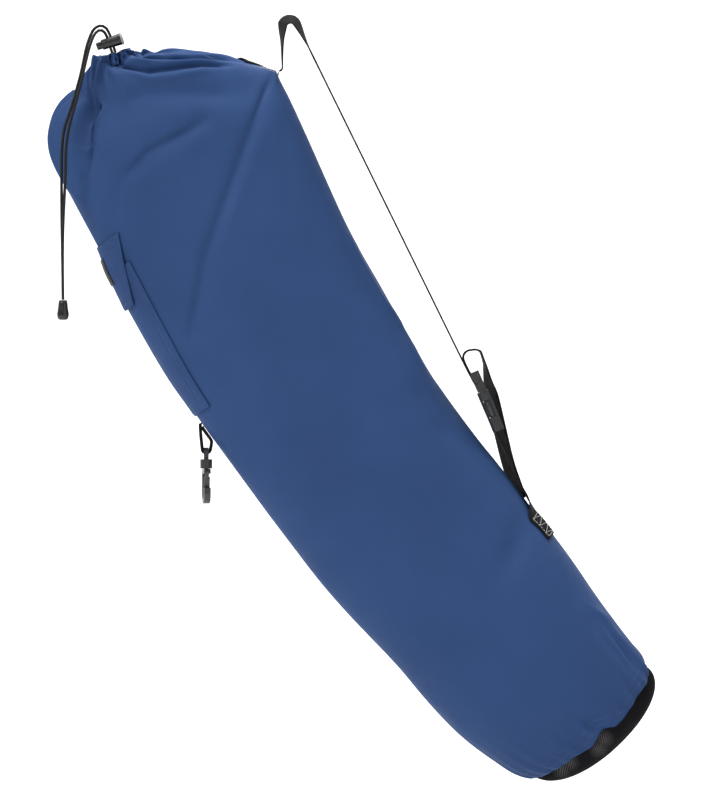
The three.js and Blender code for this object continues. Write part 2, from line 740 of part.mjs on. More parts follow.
function upperStrap() {
  const patch = sewnStations(upperEnd, 1, 4, upperOut);
  const [before, corner] = patch.slice(-2).map(({ points }) => points[webColumns / 2]);
  const onward = corner.clone().sub(before).normalize().multiplyScalar(2 * strapBend);
  const bend = corner.clone().add(onward);
  const entryX = -turnRadius - webGap - webWall;
  const entry = buckleWorld({ x: entryX, z: outerBar + barThick / 2, radius: 3 * turnRadius });
  const peak = overPeg(bend, vector(entry.x, 0, entry.z));
  const start = corner.clone().addScaledVector(onward, 0.25);
  const turns = [
    { x: -turnRadius - webGap / 4, z: innerBar - turnRadius, radius: turnRadius },
    { x: turnRadius, z: innerBar - turnRadius, radius: turnRadius },
    { x: turnRadius, z: innerBar + crossRise, radius: turnRadius },
    { x: -turnRadius, z: outerBar - crossRise, radius: turnRadius },
    { x: -turnRadius - 0.1 * archHeight, z: plugLength + archHeight, radius: 0.4 * archWidth },
    { x: 0.76 * archWidth, y: 0.2 * tailBehind, z: plugLength + 0.8 * archHeight, radius: 0.4 * archWidth },
    { x: 0.66 * archWidth, y: 0.3 * tailBehind, z: 0.85 * plugLength, radius: archWidth },
    { x: 0.46 * archWidth, y: 0.8 * tailBehind, z: -0.02 * tailLength, radius: archWidth },
    { x: 0.08 * archWidth, y: tailBehind, z: -0.38 * tailLength, radius: 2 * archWidth },
    { x: -0.2 * archWidth, y: 0.95 * tailBehind, z: -0.64 * tailLength, radius: 2 * archWidth },
    { x: -0.35 * archWidth, y: 0.8 * tailBehind, z: -tailLength },
  ].map(buckleWorld);
  const route = roundedRoute([start, { ...bend, radius: strapBend }, peak, entry, ...turns]);
  const whole = route.getLength();
  const toPeak = bend.length() / whole;
  const toArch = 1 - (tailLength + plugLength + archHeight) / whole;
  const twists = [
    { at: 0, turn: 0 },
    { at: 0.35 * toPeak, turn: 0 },
    { at: toPeak, turn: peakTwist },
    { at: 1.9 * toPeak, turn: 0 },
    { at: toArch, turn: 0 },
    { at: toArch + 0.35 * (1 - toArch), turn: tailTwist },
    { at: 1, turn: tailTwist },
  ];
  return stripGeometry([...patch, ...freeStations(route, twists, webWidth)], webWall);
}

function lowerStrap() {
  const patch = sewnStations(lowerEnd, lowerFoot, 4, webOut);
  const first = patch[0].points[webColumns / 2];
  const reach = buckleWorld({ x: 0, z: 0 });
  const fall = Math.hypot(first.x - reach.x, first.z - reach.z);
  const side = (turnRadius + webWall) / 2;
  const rows = [
    { x: side - webGap, z: lowerBar - foldBack },
    { x: turnRadius, z: lowerBar + turnRadius, radius: turnRadius },
    { x: -turnRadius, z: lowerBar + turnRadius, radius: turnRadius },
    { x: webGap - side, z: lowerBar - foldBack, radius: foldBack },
    { x: webGap - side, z: lerp(lowerBar, -fall, 0.7), radius: foldBack },
  ].map(buckleWorld);
  const last = first.clone().lerp(vector(rows.at(-1).x, 0, rows.at(-1).z), 0.06);
  const route = roundedRoute([...rows, last]);
  const flat = [{ at: 0, turn: 0 }, { at: 1, turn: 0 }];
  return stripGeometry([...freeStations(route, flat, webWidth), ...patch], webWall);
}

// Buckle, with z along the strap and x through its thickness, from where its halves meet

// A box with its four edges along z cut off
function chamferedBlock(thick, wide, height, from, cut) {
  const [x, y] = [thick / 2, wide / 2];
  const outline = [
    [x - cut, -y], [x, cut - y], [x, y - cut], [x - cut, y],
    [cut - x, y], [-x, y - cut], [-x, cut - y], [cut - x, -y],
  ];
  return plateZ(outline, height, from);
}

const slotWidth = webWidth + 3 * fit;
const prongAside = buckleWidth / 2 - socketWall - fit - prongThick / 2;

function bucklePlug() {
  const railWide = (buckleWidth - slotWidth) / 2;
  const railAside = (buckleWidth - railWide) / 2;
  const rail = (side) => block(plugThick, railWide, plugLength - seamGap, [
    0, side * railAside, (plugLength + seamGap) / 2,
  ]);
  const crossBar = (height) => bar('y', barThick / 2, buckleWidth - railWide, [0, 0, height], 10);
  const prong = (side) => {
    const arm = block(prongDeep, prongThick, prongLength + flangeThick, [
      0, side * prongAside, (flangeThick - prongLength) / 2 + seamGap,
    ]);
    const button = block(windowWidth - 2 * fit, socketWall + fit + prongThick, 0.7 * windowLength, [
      0,
      side * (buckleWidth - socketWall - fit - prongThick) / 2,
      -windowFrom - windowLength / 2 - fit,
    ]);
    return arm.add(button);
  };
  const guide = block(prongDeep, prongThick, 0.6 * prongLength, [0, 0, -0.3 * prongLength + 2 * seamGap]);
  return geometryOf(joined([
    chamferedBlock(plugThick, buckleWidth, flangeThick, seamGap, 1.2),
    rail(1), rail(-1), crossBar(innerBar), crossBar(outerBar), prong(1), prong(-1), guide,
  ]));
}

function buckleSocket() {
  const shell = chamferedBlock(socketThick, buckleWidth, socketLength, -socketLength, 2);
  const hollow = block(socketThick - 2 * socketWall, buckleWidth - 2 * socketWall, socketFloor + 1, [
    0, 0, (1 - socketFloor) / 2,
  ]);
  const windows = block(windowWidth, buckleWidth + 2, windowLength, [0, 0, -windowFrom - windowLength / 2]);
  const slotHigh = lowerBar + turnRadius + webWall / 2 + webGap;
  const slotLow = -socketLength - barThick;
  const slot = block(socketThick + 2, slotWidth, slotHigh - slotLow, [0, 0, (slotHigh + slotLow) / 2]);
  const crossBar = bar('y', barThick / 2, (slotWidth + buckleWidth) / 2, [0, 0, lowerBar], 10);
  return geometryOf(cutBy(shell, [hollow, windows, slot]).add(crossBar));
}

buckle.add(
  meshOf('buckle_plug', bucklePlug(), plastic),
  meshOf('buckle_socket', buckleSocket(), plastic),
);

// Cord lock, with x along its barrel, from the middle of the hole that the cord passes

const lock = new THREE.Group();
const rimPoint = toWorld(neckPoint(-Math.PI / 2, casingHeight + seamGap, -casingWall / 2));
const lockUp = vector(-Math.sin(degrees(lockTurn)), 0, Math.cos(degrees(lockTurn)));
lock.position.copy(rimPoint.clone().addScaledVector(lockUp, lockRise));
lock.rotation.y = -degrees(lockTurn);
lock.updateMatrixWorld(true);
const strandAside = (cordThick + seamGap) / 2;
const holeLength = 2 * cordThick + 4 * seamGap;
const holeWidth = cordThick + 2 * fit;
const barrelLeft = -(lockLength / 2 - lockHoleAside);
const barrelRight = barrelLeft + lockLength;
const plungerRight = barrelRight - lockFloor - plungerTravel - fit;

function lockBarrel() {
  const body = bar('x', lockEndThick / 2, lockLength, [barrelLeft + lockLength / 2, 0, 0], 20, lockThick / 2);
  const boreLength = lockLength - lockFloor + 1;
  const bore = bar('x', plungerThick / 2 + fit, boreLength, [barrelLeft - 1 + boreLength / 2, 0, 0], 16);
  const hole = block(holeLength, holeWidth, 2 * lockThick, [0, 0, 0]);
  return geometryOf(cutBy(body, [bore, hole]));
}

function lockPlunger() {
  const left = barrelLeft - plungerOut;
  const pin = bar('x', plungerThick / 2, plungerRight - left, [(left + plungerRight) / 2, 0, 0], 16);
  const hole = block(holeLength + plungerTravel, holeWidth, 2 * plungerThick, [-plungerTravel / 2, 0, 0]);
  return geometryOf(pin.subtract(hole));
}

lock.add(
  meshOf('lock_barrel', lockBarrel(), plastic),
  meshOf('lock_plunger', lockPlunger(), plastic),
);

// Cord: the middle of each strand, from the mouth's hem through the lock to the cord's end
const strandRoutes = {
  cord_a: [
    [-161.6, -21.4, -31.2], [-163.1, -21.4, -26.6], [-165, -21.4, -20.8], [-167, -21.4, -14.6],
    [-169.8, -22, -9], [-175, -23.6, -6.2], [-181, -25.6, -9], [-185, -27.6, -16.4],
    [-188, -30, -25.4], [-190.4, -32.6, -36.4], [-193, -35, -49.3], [-196.1, -37, -61.5],
    [-199.6, -38.4, -75], [-204, -38.8, -88.6], [-208.6, -37.8, -102.8], [-210.8, -35.6, -120],
    [-211.3, -32.6, -144.2], [-211.4, -29.8, -165], [-211.3, -27.4, -190], [-210.9, -25.6, -214],
    [-210.5, -24.9, -240], [-210.2, -24.6, -260.5],
  ],
  cord_b: [
    [-164.5, -21.4, -31.7], [-166.1, -21.4, -27.5], [-168, -21.4, -21.8], [-170, -21.6, -15.6],
    [-172.7, -23.6, -11.4], [-177, -26.8, -10.8], [-180.9, -30, -14.8], [-183.8, -32.6, -21.6],
    [-186.6, -35, -31.4], [-189.2, -37.2, -42.6], [-191.8, -39.2, -54.2], [-194.8, -41, -66],
    [-198, -42.2, -79], [-201.8, -42.4, -92.4], [-205.2, -41.4, -106.8], [-207, -39.2, -122],
    [-207.6, -36, -144.2], [-208.6, -33, -165], [-209.8, -30.8, -190], [-210.4, -28.9, -214],
    [-210.4, -28.1, -240], [-210.2, -27.7, -260.5],
  ],
};

function strand(points) {
  const sides = 8;
  const round = Array.from({ length: sides }, (_, k) => {
    const angle = 2 * Math.PI * (k + 0.5) / sides;
    return new THREE.Vector2(Math.cos(angle) * cordThick / 2, Math.sin(angle) * cordThick / 2);
  });
  const curve = new THREE.CatmullRomCurve3(points.map((p) => vector(...p)), false, 'centripetal');
  const steps = Math.ceil(curve.getLength() / (2.6 * cordThick));
  return new THREE.ExtrudeGeometry(new THREE.Shape(round), { steps, extrudePath: curve });
}

// The bell that holds the cord's two ends
function cordEnd() {
  const [top, wide] = [endNeck / 2, endThick / 2];
  const profile = [
    [0, 0], [0.55 * wide, 0], [0.86 * wide, 0.1 * endLength], [wide, 0.24 * endLength],
    [0.98 * wide, 0.36 * endLength], [1.04 * top, 0.86 * endLength], [0.84 * top, endLength], [0, endLength],
  ];
  return new THREE.LatheGeometry(profile.map(([x, y]) => new THREE.Vector2(x, y)), 16).rotateX(Math.PI / 2);
}

const cordGroup = new THREE.Group();
cordGroup.add(
  ...Object.entries(strandRoutes).map(([name, points]) => meshOf(name, strand(points), cord)),
);
const ends = Object.values(strandRoutes).map((points) => vector(...points.at(-1)));
const bell = meshOf('cord_end', cordEnd(), plastic);
bell.position.copy(ends[0].clone().add(ends[1]).multiplyScalar(0.5).add(vector(0, 0, -endLength - seamGap)));
cordGroup.add(bell);

// Key hook, hanging in its loop, from the middle of its eye's upper bar

const hookSide = degrees(loopAngle);
const loopOut = layGap + loopWall / 2;
const loopSpot = (height) => toWorld(bodySurface(hookSide, alongAt(hookSide, height), loopOut));
const hook = new THREE.Group();
const loopTop = loopSpot(loopHeight);
hook.position.copy(loopTop).add(vector(loopAside, 0, -loopDrop));
const turning = new THREE.Group();
turning.rotation.z = degrees(hookTurn);
hook.add(turning);

function hookLoop() {
  const turn = eyeThick / 2 + webGap + loopWall / 2;
  const { x, y, z } = hook.position;
  const ends = [loopSpot(loopHeight + loopWall), loopSpot(loopHeight - loopWall)];
  const rows = [
    ends[0],
    { x: x - loopBulge, y, z: z + 0.4 * loopDrop, radius: loopBulge },
    { x: x - turn, y, z: z - turn, radius: turn },
    { x: x + turn, y, z: z - turn, radius: turn },
    { x: x + loopBulge, y, z: z + 0.34 * loopDrop, radius: loopBulge },
    ends[1],
  ];
  const flat = [{ at: 0, turn: 0 }, { at: 1, turn: 0 }];
  return stripGeometry(freeStations(roundedRoute(rows), flat, loopWidth), loopWall);
}

const eyeInside = loopWidth + 2 * eyeRoom;
const collarTop = eyeWire / 2 - eyeHeight;
const collarFoot = collarTop - collarHeight;
const headTop = collarTop - roofWall;

function hookSwivel() {
  const wide = eyeInside / 2 + eyeWire;
  const top = eyeWire / 2;
  const outer = plateX([
    [-wide, top - eyeWire], [eyeWire - wide, top], [wide - eyeWire, top], [wide, top - eyeWire],
    [wide, collarTop + eyeWire], [collarThick / 2, collarTop], [-collarThick / 2, collarTop],
    [-wide, collarTop + eyeWire],
  ], eyeThick);
  const holeHigh = top - eyeWire;
  const holeLow = collarTop + 0.8 * eyeWire;
  const hole = block(2 * eyeThick, eyeInside, holeHigh - holeLow, [0, 0, (holeHigh + holeLow) / 2]);
  const collar = bar('z', collarThick / 2, collarHeight + seamGap, [0, 0, collarTop - collarHeight / 2], 16);
  const headMiddle = headTop - shankHeadHeight / 2;
  const headRoom = bar('z', shankHead / 2 + fit, shankHeadHeight + 2 * fit, [0, 0, headMiddle], 14);
  const neckRoom = bar('z', shankThick / 2 + fit, collarHeight, [0, 0, collarFoot + 1], 14);
  return geometryOf(cutBy(outer.subtract(hole).add(collar), [headRoom, neckRoom]));
}

// The hook itself lies in the y and z plane, with its spine behind and its nose in front
const hookTopZ = collarFoot - fit;
const hookFoot = hookTopZ - hookDrop;
const gatePivot = { y: -(hookDeep / 2 - pivotInset), z: hookTopZ - hookTop / 2 - pivotDrop };

function hookBody() {
  const [outer, inner] = [hookDeep / 2, hookDeep / 2 - hookThick];
  const middle = hookFoot + outer;
  const arc = (radius, from, to) => Array.from({ length: arcSteps + 1 }, (_, k) => {
    const angle = degrees(lerp(from, to, k / arcSteps));
    return [radius * Math.cos(angle), middle + radius * Math.sin(angle)];
  });
  const outline = [
    [-0.62 * outer, hookTopZ], [0.62 * outer, hookTopZ], [outer, hookTopZ - 0.3 * hookTop],
    ...arc(outer, 0, -180),
    [-outer, hookFoot + noseHeight - 1], [1 - outer, hookFoot + noseHeight],
    [-inner - 0.6, hookFoot + noseHeight], [-inner, hookFoot + noseHeight - 0.6],
    ...arc(inner, -180, 0),
    [inner, hookTopZ - hookTop - 2], [inner - 2, hookTopZ - hookTop],
    [-outer, hookTopZ - hookTop], [-outer, hookTopZ - 0.3 * hookTop],
  ];
  const shankMiddle = (headTop + hookTopZ - fit) / 2;
  const shank = bar('z', shankThick / 2, headTop - hookTopZ, [0, 0, shankMiddle], 12);
  const head = bar('z', shankHead / 2, shankHeadHeight, [0, 0, headTop - shankHeadHeight / 2], 12);
  const slot = block(gateEyeWidth + 2 * fit, hookDeep, 2 * hookTop, [
    0, gatePivot.y - hookDeep / 2 + 2.2 + fit, hookTopZ - hookTop,
  ]);
  const pinHole = bar('x', gatePin + fit, 2 * hookWidth, [0, gatePivot.y, gatePivot.z], 12);
  return geometryOf(cutBy(joined([plateX(outline, hookWidth), shank, head]), [slot, pinHole]));
}

function hookGate() {
  const rest = -(hookDeep / 2 - hookThick) + 2 * fit + gateThick / 2;
  const reach = gatePivot.z - hookFoot - noseHeight;
  const lean = Math.atan2(rest - gatePivot.y, reach);
  const long = Math.hypot(rest - gatePivot.y, reach) + gateOver;
  const arm = block(gateWidth, gateThick, long - hookTop, [0, 0, -(long + hookTop) / 2]);
  const root = block(gateEyeWidth, gateThick, long / 2, [0, 0, -long / 4]);
  const eye = bar('x', 2, gateEyeWidth, [0, 0, 0], 14);
  const pin = bar('x', gatePin, hookWidth - 0.4, [0, 0, 0], 12);
  const geometry = geometryOf(joined([arm, root, eye, pin]));
  return geometry.rotateX(lean).translate(0, gatePivot.y, gatePivot.z);
}

hook.add(meshOf('hook_swivel', hookSwivel(), plastic));
turning.add(
  meshOf('hook_body', hookBody(), plastic),
  meshOf('hook_gate', hookGate(), plastic),
);

bag.add(
  ...bandNames.map((name, k) => meshOf(name, bodyBand(k * bandRows, bandRows), cloth)),
  meshOf('body_shoulder', bodyBand(bodyRows, shoulderRows), cloth),
  meshOf('base_net', netShell(), net),
  meshOf('neck_casing', neckCasing(), cloth),
  meshOf('pocket_panel', pocketPanel(), cloth),
  meshOf('pocket_flap', pocketFlap(), cloth),
  meshOf('flap_patch', flapPatch(), rubber),
);

const part = new THREE.Group();
part.add(
  bag,
  buckle,
  lock,
  hook,
  cordGroup,
  meshOf('strap_upper', upperStrap(), webbing),
  meshOf('strap_lower', lowerStrap(), webbing),
  meshOf('hook_loop', hookLoop(), webbing),
);

export default part;
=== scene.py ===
import math

import bpy
import numpy as np
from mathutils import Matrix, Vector


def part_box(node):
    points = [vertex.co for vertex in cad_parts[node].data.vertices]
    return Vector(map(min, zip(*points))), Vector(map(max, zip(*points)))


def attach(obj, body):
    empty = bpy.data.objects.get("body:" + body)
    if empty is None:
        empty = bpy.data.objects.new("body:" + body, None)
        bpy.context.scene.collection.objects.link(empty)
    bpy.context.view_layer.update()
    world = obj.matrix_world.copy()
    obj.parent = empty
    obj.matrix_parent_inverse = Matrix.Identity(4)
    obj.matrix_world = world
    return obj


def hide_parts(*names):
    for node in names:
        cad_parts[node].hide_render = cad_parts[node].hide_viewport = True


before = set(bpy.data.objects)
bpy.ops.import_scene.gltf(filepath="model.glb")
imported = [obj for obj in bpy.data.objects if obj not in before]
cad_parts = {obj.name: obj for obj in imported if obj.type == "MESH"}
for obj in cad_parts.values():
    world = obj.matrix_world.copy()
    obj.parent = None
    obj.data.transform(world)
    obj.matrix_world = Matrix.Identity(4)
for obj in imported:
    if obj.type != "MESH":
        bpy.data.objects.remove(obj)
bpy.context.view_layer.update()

# A yoga mat bag hanging from its strap. Tables and shapes are in millimetres in the part's own frame.
MM = 0.001
TAU = 2 * math.pi

# Camera and stage

VIEW_CENTRE = (60.5, -353.4)
VIEW_HIGH = 744.0
CAMERA_AWAY = 8000.0
SENSOR = 36.0
FLOOR_Z = -0.8
SWEEP_FROM = 1.0
SWEEP_ROUND = 0.7


def make_camera():
    data = bpy.data.cameras.new("camera")
    data.sensor_width = SENSOR
    data.lens = SENSOR * CAMERA_AWAY / VIEW_HIGH
    data.clip_start, data.clip_end = 0.5, 60
    camera = bpy.data.objects.new("camera", data)
    bpy.context.scene.collection.objects.link(camera)
    camera.location = (VIEW_CENTRE[0] * MM, -CAMERA_AWAY * MM, VIEW_CENTRE[1] * MM)
    camera.rotation_euler = (math.pi / 2, 0, 0)
    bpy.context.scene.camera = camera


make_camera()
bpy.context.scene.view_settings.view_transform = "Standard"


# Materials

class Shader:
    """A node tree with one principled shader, and short ways to add nodes to it."""

    def __init__(self, name, color, **sockets):
        self.material = bpy.data.materials.new(name)
        self.material.use_nodes = True
        self.tree = self.material.node_tree
        self.surface = self.tree.nodes["Principled BSDF"]
        self.color = color
        self.height = None
        self.surface.inputs["Base Color"].default_value = (*color, 1)
        for key, value in sockets.items():
            self.surface.inputs[key.replace("_", " ")].default_value = value

    def node(self, kind, inputs=(), **props):
        made = self.tree.nodes.new(kind)
        for key, value in props.items():
            setattr(made, key, value)
        for key, value in dict(inputs).items():
            if isinstance(value, bpy.types.NodeSocket):
                self.tree.links.new(value, made.inputs[key])
            else:
                made.inputs[key].default_value = value
        return made

    def place(self, source="Object", stretch=(1, 1, 1), turn=0.0):
        coordinates = self.node("ShaderNodeTexCoord").outputs[source]
        inputs = {"Vector": coordinates, "Scale": stretch, "Rotation": (0, 0, turn)}
        return self.node("ShaderNodeMapping", inputs).outputs[0]

    def noise(self, scale, detail=3.0, rough=0.5, place=None):
        inputs = {
            "Vector": place or self.place(), "Scale": scale, "Detail": detail, "Roughness": rough,
        }
        return self.node("ShaderNodeTexNoise", inputs).outputs["Fac"]

    def math(self, operation, a, b=0.0):
        return self.node("ShaderNodeMath", {0: a, 1: b}, operation=operation).outputs[0]

    def spread(self, value, low, high, to_low=0.0, to_high=1.0):
        inputs = {"Value": value, "From Min": low, "From Max": high, "To Min": to_low, "To Max": to_high}
        return self.node("ShaderNodeMapRange", inputs).outputs[0]

    def tint(self, factor, other):
        """Mixes the colour so far towards another by a factor socket."""
        mix = self.node("ShaderNodeMix", data_type="RGBA")
        self.tree.links.new(factor, mix.inputs[0])
        socket = self.surface.inputs["Base Color"]
        if socket.is_linked:
            self.tree.links.new(socket.links[0].from_socket, mix.inputs[6])
        else:
            mix.inputs[6].default_value = (*self.color, 1)
        mix.inputs[7].default_value = (*other, 1)
        self.tree.links.new(mix.outputs[2], socket)

    def bump(self, height, distance, strength=1.0):
        inputs = {"Height": height, "Distance": distance, "Strength": strength}
        if self.height is not None:
            inputs["Normal"] = self.height
        self.height = self.node("ShaderNodeBump", inputs).outputs[0]
        self.tree.links.new(self.height, self.surface.inputs["Normal"])

    def rough(self, value, low, high):
        self.tree.links.new(self.spread(value, 0.3, 0.7, low, high), self.surface.inputs["Roughness"])

    def threads(self, pitch_u, pitch_v, source="UV"):
        """A plain weave over a map in metres: 1 on the crown of a thread and 0 between threads."""
        split = self.node("ShaderNodeSeparateXYZ", {0: self.place(source)})
        across = self.math("SINE", self.math("MULTIPLY", split.outputs[0], TAU / pitch_u))
        along = self.math("SINE", self.math("MULTIPLY", split.outputs[1], TAU / pitch_v))
        return self.spread(self.math("MULTIPLY", across, along), -1, 1)


def cloth_material():
    s = Shader("cloth", CLOTH_COLOR, Roughness=0.62, Sheen_Weight=0.06, Sheen_Roughness=0.45)
    s.surface.inputs["Sheen Tint"].default_value = (0.3, 0.5, 1, 1)
    s.surface.inputs["Specular IOR Level"].default_value = 0.08
    broad = s.noise(9, 3, 0.55)
    s.tint(s.spread(broad, 0.35, 0.75, 0, 0.5), tuple(1.35 * c for c in CLOTH_COLOR))
    fine = s.noise(900, 2, 0.6)
    s.tint(s.spread(fine, 0.4, 0.8, 0, 0.25), tuple(0.7 * c for c in CLOTH_COLOR))
    s.rough(s.noise(40, 4, 0.6), 0.54, 0.7)
    s.bump(s.noise(26, 4, 0.55), 0.0022, 0.35)
    s.bump(s.noise(110, 3, 0.5), 0.0006, 0.35)
    s.bump(s.threads(0.0007, 0.0007), 0.00012, 0.5)
    return s.material


def net_material():
    s = Shader("net", (0.006, 0.006, 0.007), Roughness=0.9)
    s.surface.inputs["Specular IOR Level"].default_value = 0.02
    cells = s.node("ShaderNodeTexVoronoi", {
        "Vector": s.place("UV", turn=math.pi / 4), "Scale": 640.0, "Randomness": 0.0,
    }, voronoi_dimensions="2D")
    hole = s.spread(cells.outputs["Distance"], 0.2, 0.34, 1, 0)
    flat = s.node("ShaderNodeVectorMath", {0: s.place(), 1: (1, 0, 1)}, operation="MULTIPLY").outputs[0]
    seen = None
    for x, z in NET_LIGHT:
        away = s.node("ShaderNodeVectorMath", {0: flat, 1: (x, 0, z)}, operation="DISTANCE").outputs["Value"]
        painted_light_spot = s.spread(away, 0.002, 0.01, 1, 0)
        seen = painted_light_spot if seen is None else s.math("MAXIMUM", seen, painted_light_spot)
    # Painted light: the holes turn pale only near the NET_LIGHT spots, as if light shone through them
    s.tint(s.math("MULTIPLY", hole, seen), (0.13, 0.125, 0.12))
    s.bump(hole, 0.0004, -0.6)
    s.bump(s.noise(50, 3), 0.001, 0.3)
    return s.material


def webbing_material():
    s = Shader("webbing", (0.0065, 0.0065, 0.0063), Roughness=0.7)
    s.surface.inputs["Specular IOR Level"].default_value = 0.05
    weave = s.threads(0.0016, 0.0024)
    s.tint(s.spread(weave, 0.3, 1, 0, 0.6), (0.017, 0.017, 0.0165))
    s.bump(weave, 0.0004, 0.7)
    s.bump(s.noise(300, 2), 0.0002, 0.5)
    return s.material


def cord_material():
    s = Shader("cord", (0.008, 0.008, 0.008), Roughness=0.55)
    s.surface.inputs["Specular IOR Level"].default_value = 0.15
    split = s.node("ShaderNodeSeparateXYZ", {0: s.place("UV")})
    along = s.math("MULTIPLY", split.outputs[0], BRAID_ALONG)
    around = s.math("MULTIPLY", split.outputs[1], BRAID_AROUND)
    lean, back = (s.math("SINE", s.math(way, along, around)) for way in ("ADD", "SUBTRACT"))
    braid = s.spread(s.math("MULTIPLY", lean, back), -1, 1)
    s.tint(s.spread(braid, 0.5, 1, 0, 0.6), (0.025, 0.025, 0.025))
    s.bump(braid, 0.0004, 0.8)
    s.bump(s.noise(700, 2), 0.0002, 0.4)
    return s.material


def plastic_material(name, color, roughness, grain):
    s = Shader(name, color, Roughness=roughness)
    s.surface.inputs["Specular IOR Level"].default_value = 0.5
    s.tint(s.spread(s.noise(60, 3), 0.4, 0.7, 0, 0.3), tuple(1.5 * c for c in color))
    s.rough(s.noise(150, 3), roughness - 0.05, roughness + 0.12)
    s.bump(s.noise(1400, 2), 0.00008, grain)
    s.bump(s.noise(120, 2), 0.0002, 0.1)
    return s.material


def thread_material(name, color):
    s = Shader(name, color, Roughness=0.5, Sheen_Weight=0.2)
    s.tint(s.spread(s.noise(500, 2), 0.4, 0.7, 0, 0.6), tuple(0.5 * c for c in color))
    s.bump(s.noise(2500, 2), 0.0001, 0.5)
    return s.material


def stage_material():
    s = Shader("stage", (0.86, 0.86, 0.86), Roughness=0.9)
    s.tint(s.spread(s.noise(2, 2), 0.3, 0.7, 0, 0.2), (0.84, 0.84, 0.845))
    return s.material


CLOTH_COLOR = (0.0205, 0.0475, 0.130)
BRAID_ALONG, BRAID_AROUND = 640, 12.566
# Spots of painted light in the net's holes at the foot, where light seems to shine through, in x and z
NET_LIGHT = [(0.291, -0.667), (0.286, -0.676), (0.259, -0.689), (0.252, -0.696)]
CLOTH = cloth_material()
NET = net_material()
WEBBING = webbing_material()
CORD = cord_material()
PLASTIC = plastic_material("plastic", (0.018, 0.019, 0.021), 0.3, 0.5)
SHADE = plastic_material("shade", (0.003, 0.003, 0.003), 0.7, 0.3)
GLOSS = plastic_material("gloss", (0.007, 0.007, 0.0075), 0.2, 0.12)
CAP = plastic_material("cap", (0.2, 0.205, 0.21), 0.35, 0.2)
RUBBER = plastic_material("rubber", (0.008, 0.0085, 0.008), 0.6, 0.8)
CLOTH_THREAD = thread_material("cloth_thread", (0.011, 0.027, 0.08))
LIGHT_THREAD = thread_material("light_thread", (0.42, 0.42, 0.4))


# Meshes

def piece(name, points, faces, material, slot, uv=None, replaces=()):
    """A mesh from points in millimetres. uv is a map in metres, one pair to a point."""
    mesh = bpy.data.meshes.new(name)
    mesh.from_pydata((np.asarray(points) * MM).tolist(), [], faces)
    mesh.validate()
    if uv is not None:
        loops = np.zeros(len(mesh.loops), int)
        mesh.loops.foreach_get("vertex_index", loops)
        layer = mesh.uv_layers.new(name="UVMap")
        layer.data.foreach_set("uv", np.asarray(uv, float)[loops].ravel())
    mesh.polygons.foreach_set("use_smooth", [True] * len(mesh.polygons))
    mesh.materials.append(material)
    made = bpy.data.objects.new(name, mesh)
    bpy.context.scene.collection.objects.link(made)
    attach(made, "bag")
    if replaces:
        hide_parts(*replaces)
    return made


def outward(points, faces):
    """The faces, turned over if they make the volume negative."""
    corners = np.array([f[:3] for f in faces])
    a, b, c = points[corners[:, 0]], points[corners[:, 1]], points[corners[:, 2]]
    far = np.array([f[2:] + f[:1] for f in faces if len(f) == 4])
    volume = np.einsum("ij,ij->", a, np.cross(b, c))
    if len(far):
        d, e, g = points[far[:, 0]], points[far[:, 1]], points[far[:, 2]]
        volume += np.einsum("ij,ij->", d, np.cross(e, g))
    return [f[::-1] for f in faces] if volume < 0 else faces


def ring_faces(rings, count, closed=False, first=0):
    """Faces between rings of count points, and from the last ring to the first if closed."""
    faces = []
    for row in range(rings if closed else rings - 1):
        a, b = first + row * count, first + (row + 1) % rings * count
        faces += [[a + k, a + (k + 1) % count, b + (k + 1) % count, b + k] for k in range(count)]
    return faces


def sheet(name, outer, inner, material, slot, closed=False, pole=False, **more):
    """A sheet with two faces, from two grids of points. closed joins the columns into a tube."""
    rows, columns = outer.shape[:2]
    points = np.vstack([outer.reshape(-1, 3), inner.reshape(-1, 3)])
    under = rows * columns
    faces = []
    spans = columns if closed else columns - 1

    def at(row, column, layer):
        return layer * under + row * columns + column % columns

    for row in range(rows - 1):
        for column in range(spans):
            face = [(row, column), (row, column + 1), (row + 1, column + 1), (row + 1, column)]
            faces.append([at(*corner, 0) for corner in face])
            faces.append([at(*corner, 1) for corner in face[:1] + face[:0:-1]])
    for column in range(spans):
        faces.append([at(0, column, 0), at(0, column, 1), at(0, column + 1, 1), at(0, column + 1, 0)])
        if not pole:
            top, beside = rows - 1, column + 1
            faces.append([at(top, column, 0), at(top, beside, 0), at(top, beside, 1), at(top, column, 1)])
    if not closed:
        for row in range(rows - 1):
            last = columns - 1
            faces.append([at(row, 0, 0), at(row + 1, 0, 0), at(row + 1, 0, 1), at(row, 0, 1)])
            faces.append([at(row, last, 0), at(row, last, 1), at(row + 1, last, 1), at(row + 1, last, 0)])
    steps = np.linalg.norm(np.diff(outer, axis=0), axis=2)
    down = np.vstack([np.zeros(columns), np.cumsum(steps, axis=0)]) * MM
    wide = np.linalg.norm(np.diff(outer, axis=1), axis=2).mean(axis=0)
    across = np.broadcast_to(np.concatenate([[0], np.cumsum(wide)]) * MM, down.shape)
    uv = np.stack([across, down], axis=2).reshape(-1, 2)
    return piece(name, points, outward(points, faces), material, slot, uv=np.vstack([uv, uv]), **more)


# Curves and tables

def smooth(t):
    t = np.clip(t, 0, 1)
    return t * t * (3 - 2 * t)


def column_at(rows, column, place):
    """A table's column at a place in its first column, on a smooth curve through its rows."""
    table = np.array(rows, float)
    keys, values = table[:, 0], table[:, column]
    place = np.asarray(place, float)
    n = np.clip(np.searchsorted(keys, place, side="right") - 1, 0, len(keys) - 2)
    before, after = np.maximum(n - 1, 0), np.minimum(n + 2, len(keys) - 1)
    span = keys[n + 1] - keys[n]
    t = (place - keys[n]) / span
    start = (values[n + 1] - values[before]) / (keys[n + 1] - keys[before]) * span
    end = (values[after] - values[n]) / (keys[after] - keys[n]) * span
    return ((2 * t**3 - 3 * t**2 + 1) * values[n] + (t**3 - 2 * t**2 + t) * start
            + (3 * t**2 - 2 * t**3) * values[n + 1] + (t**3 - t**2) * end)


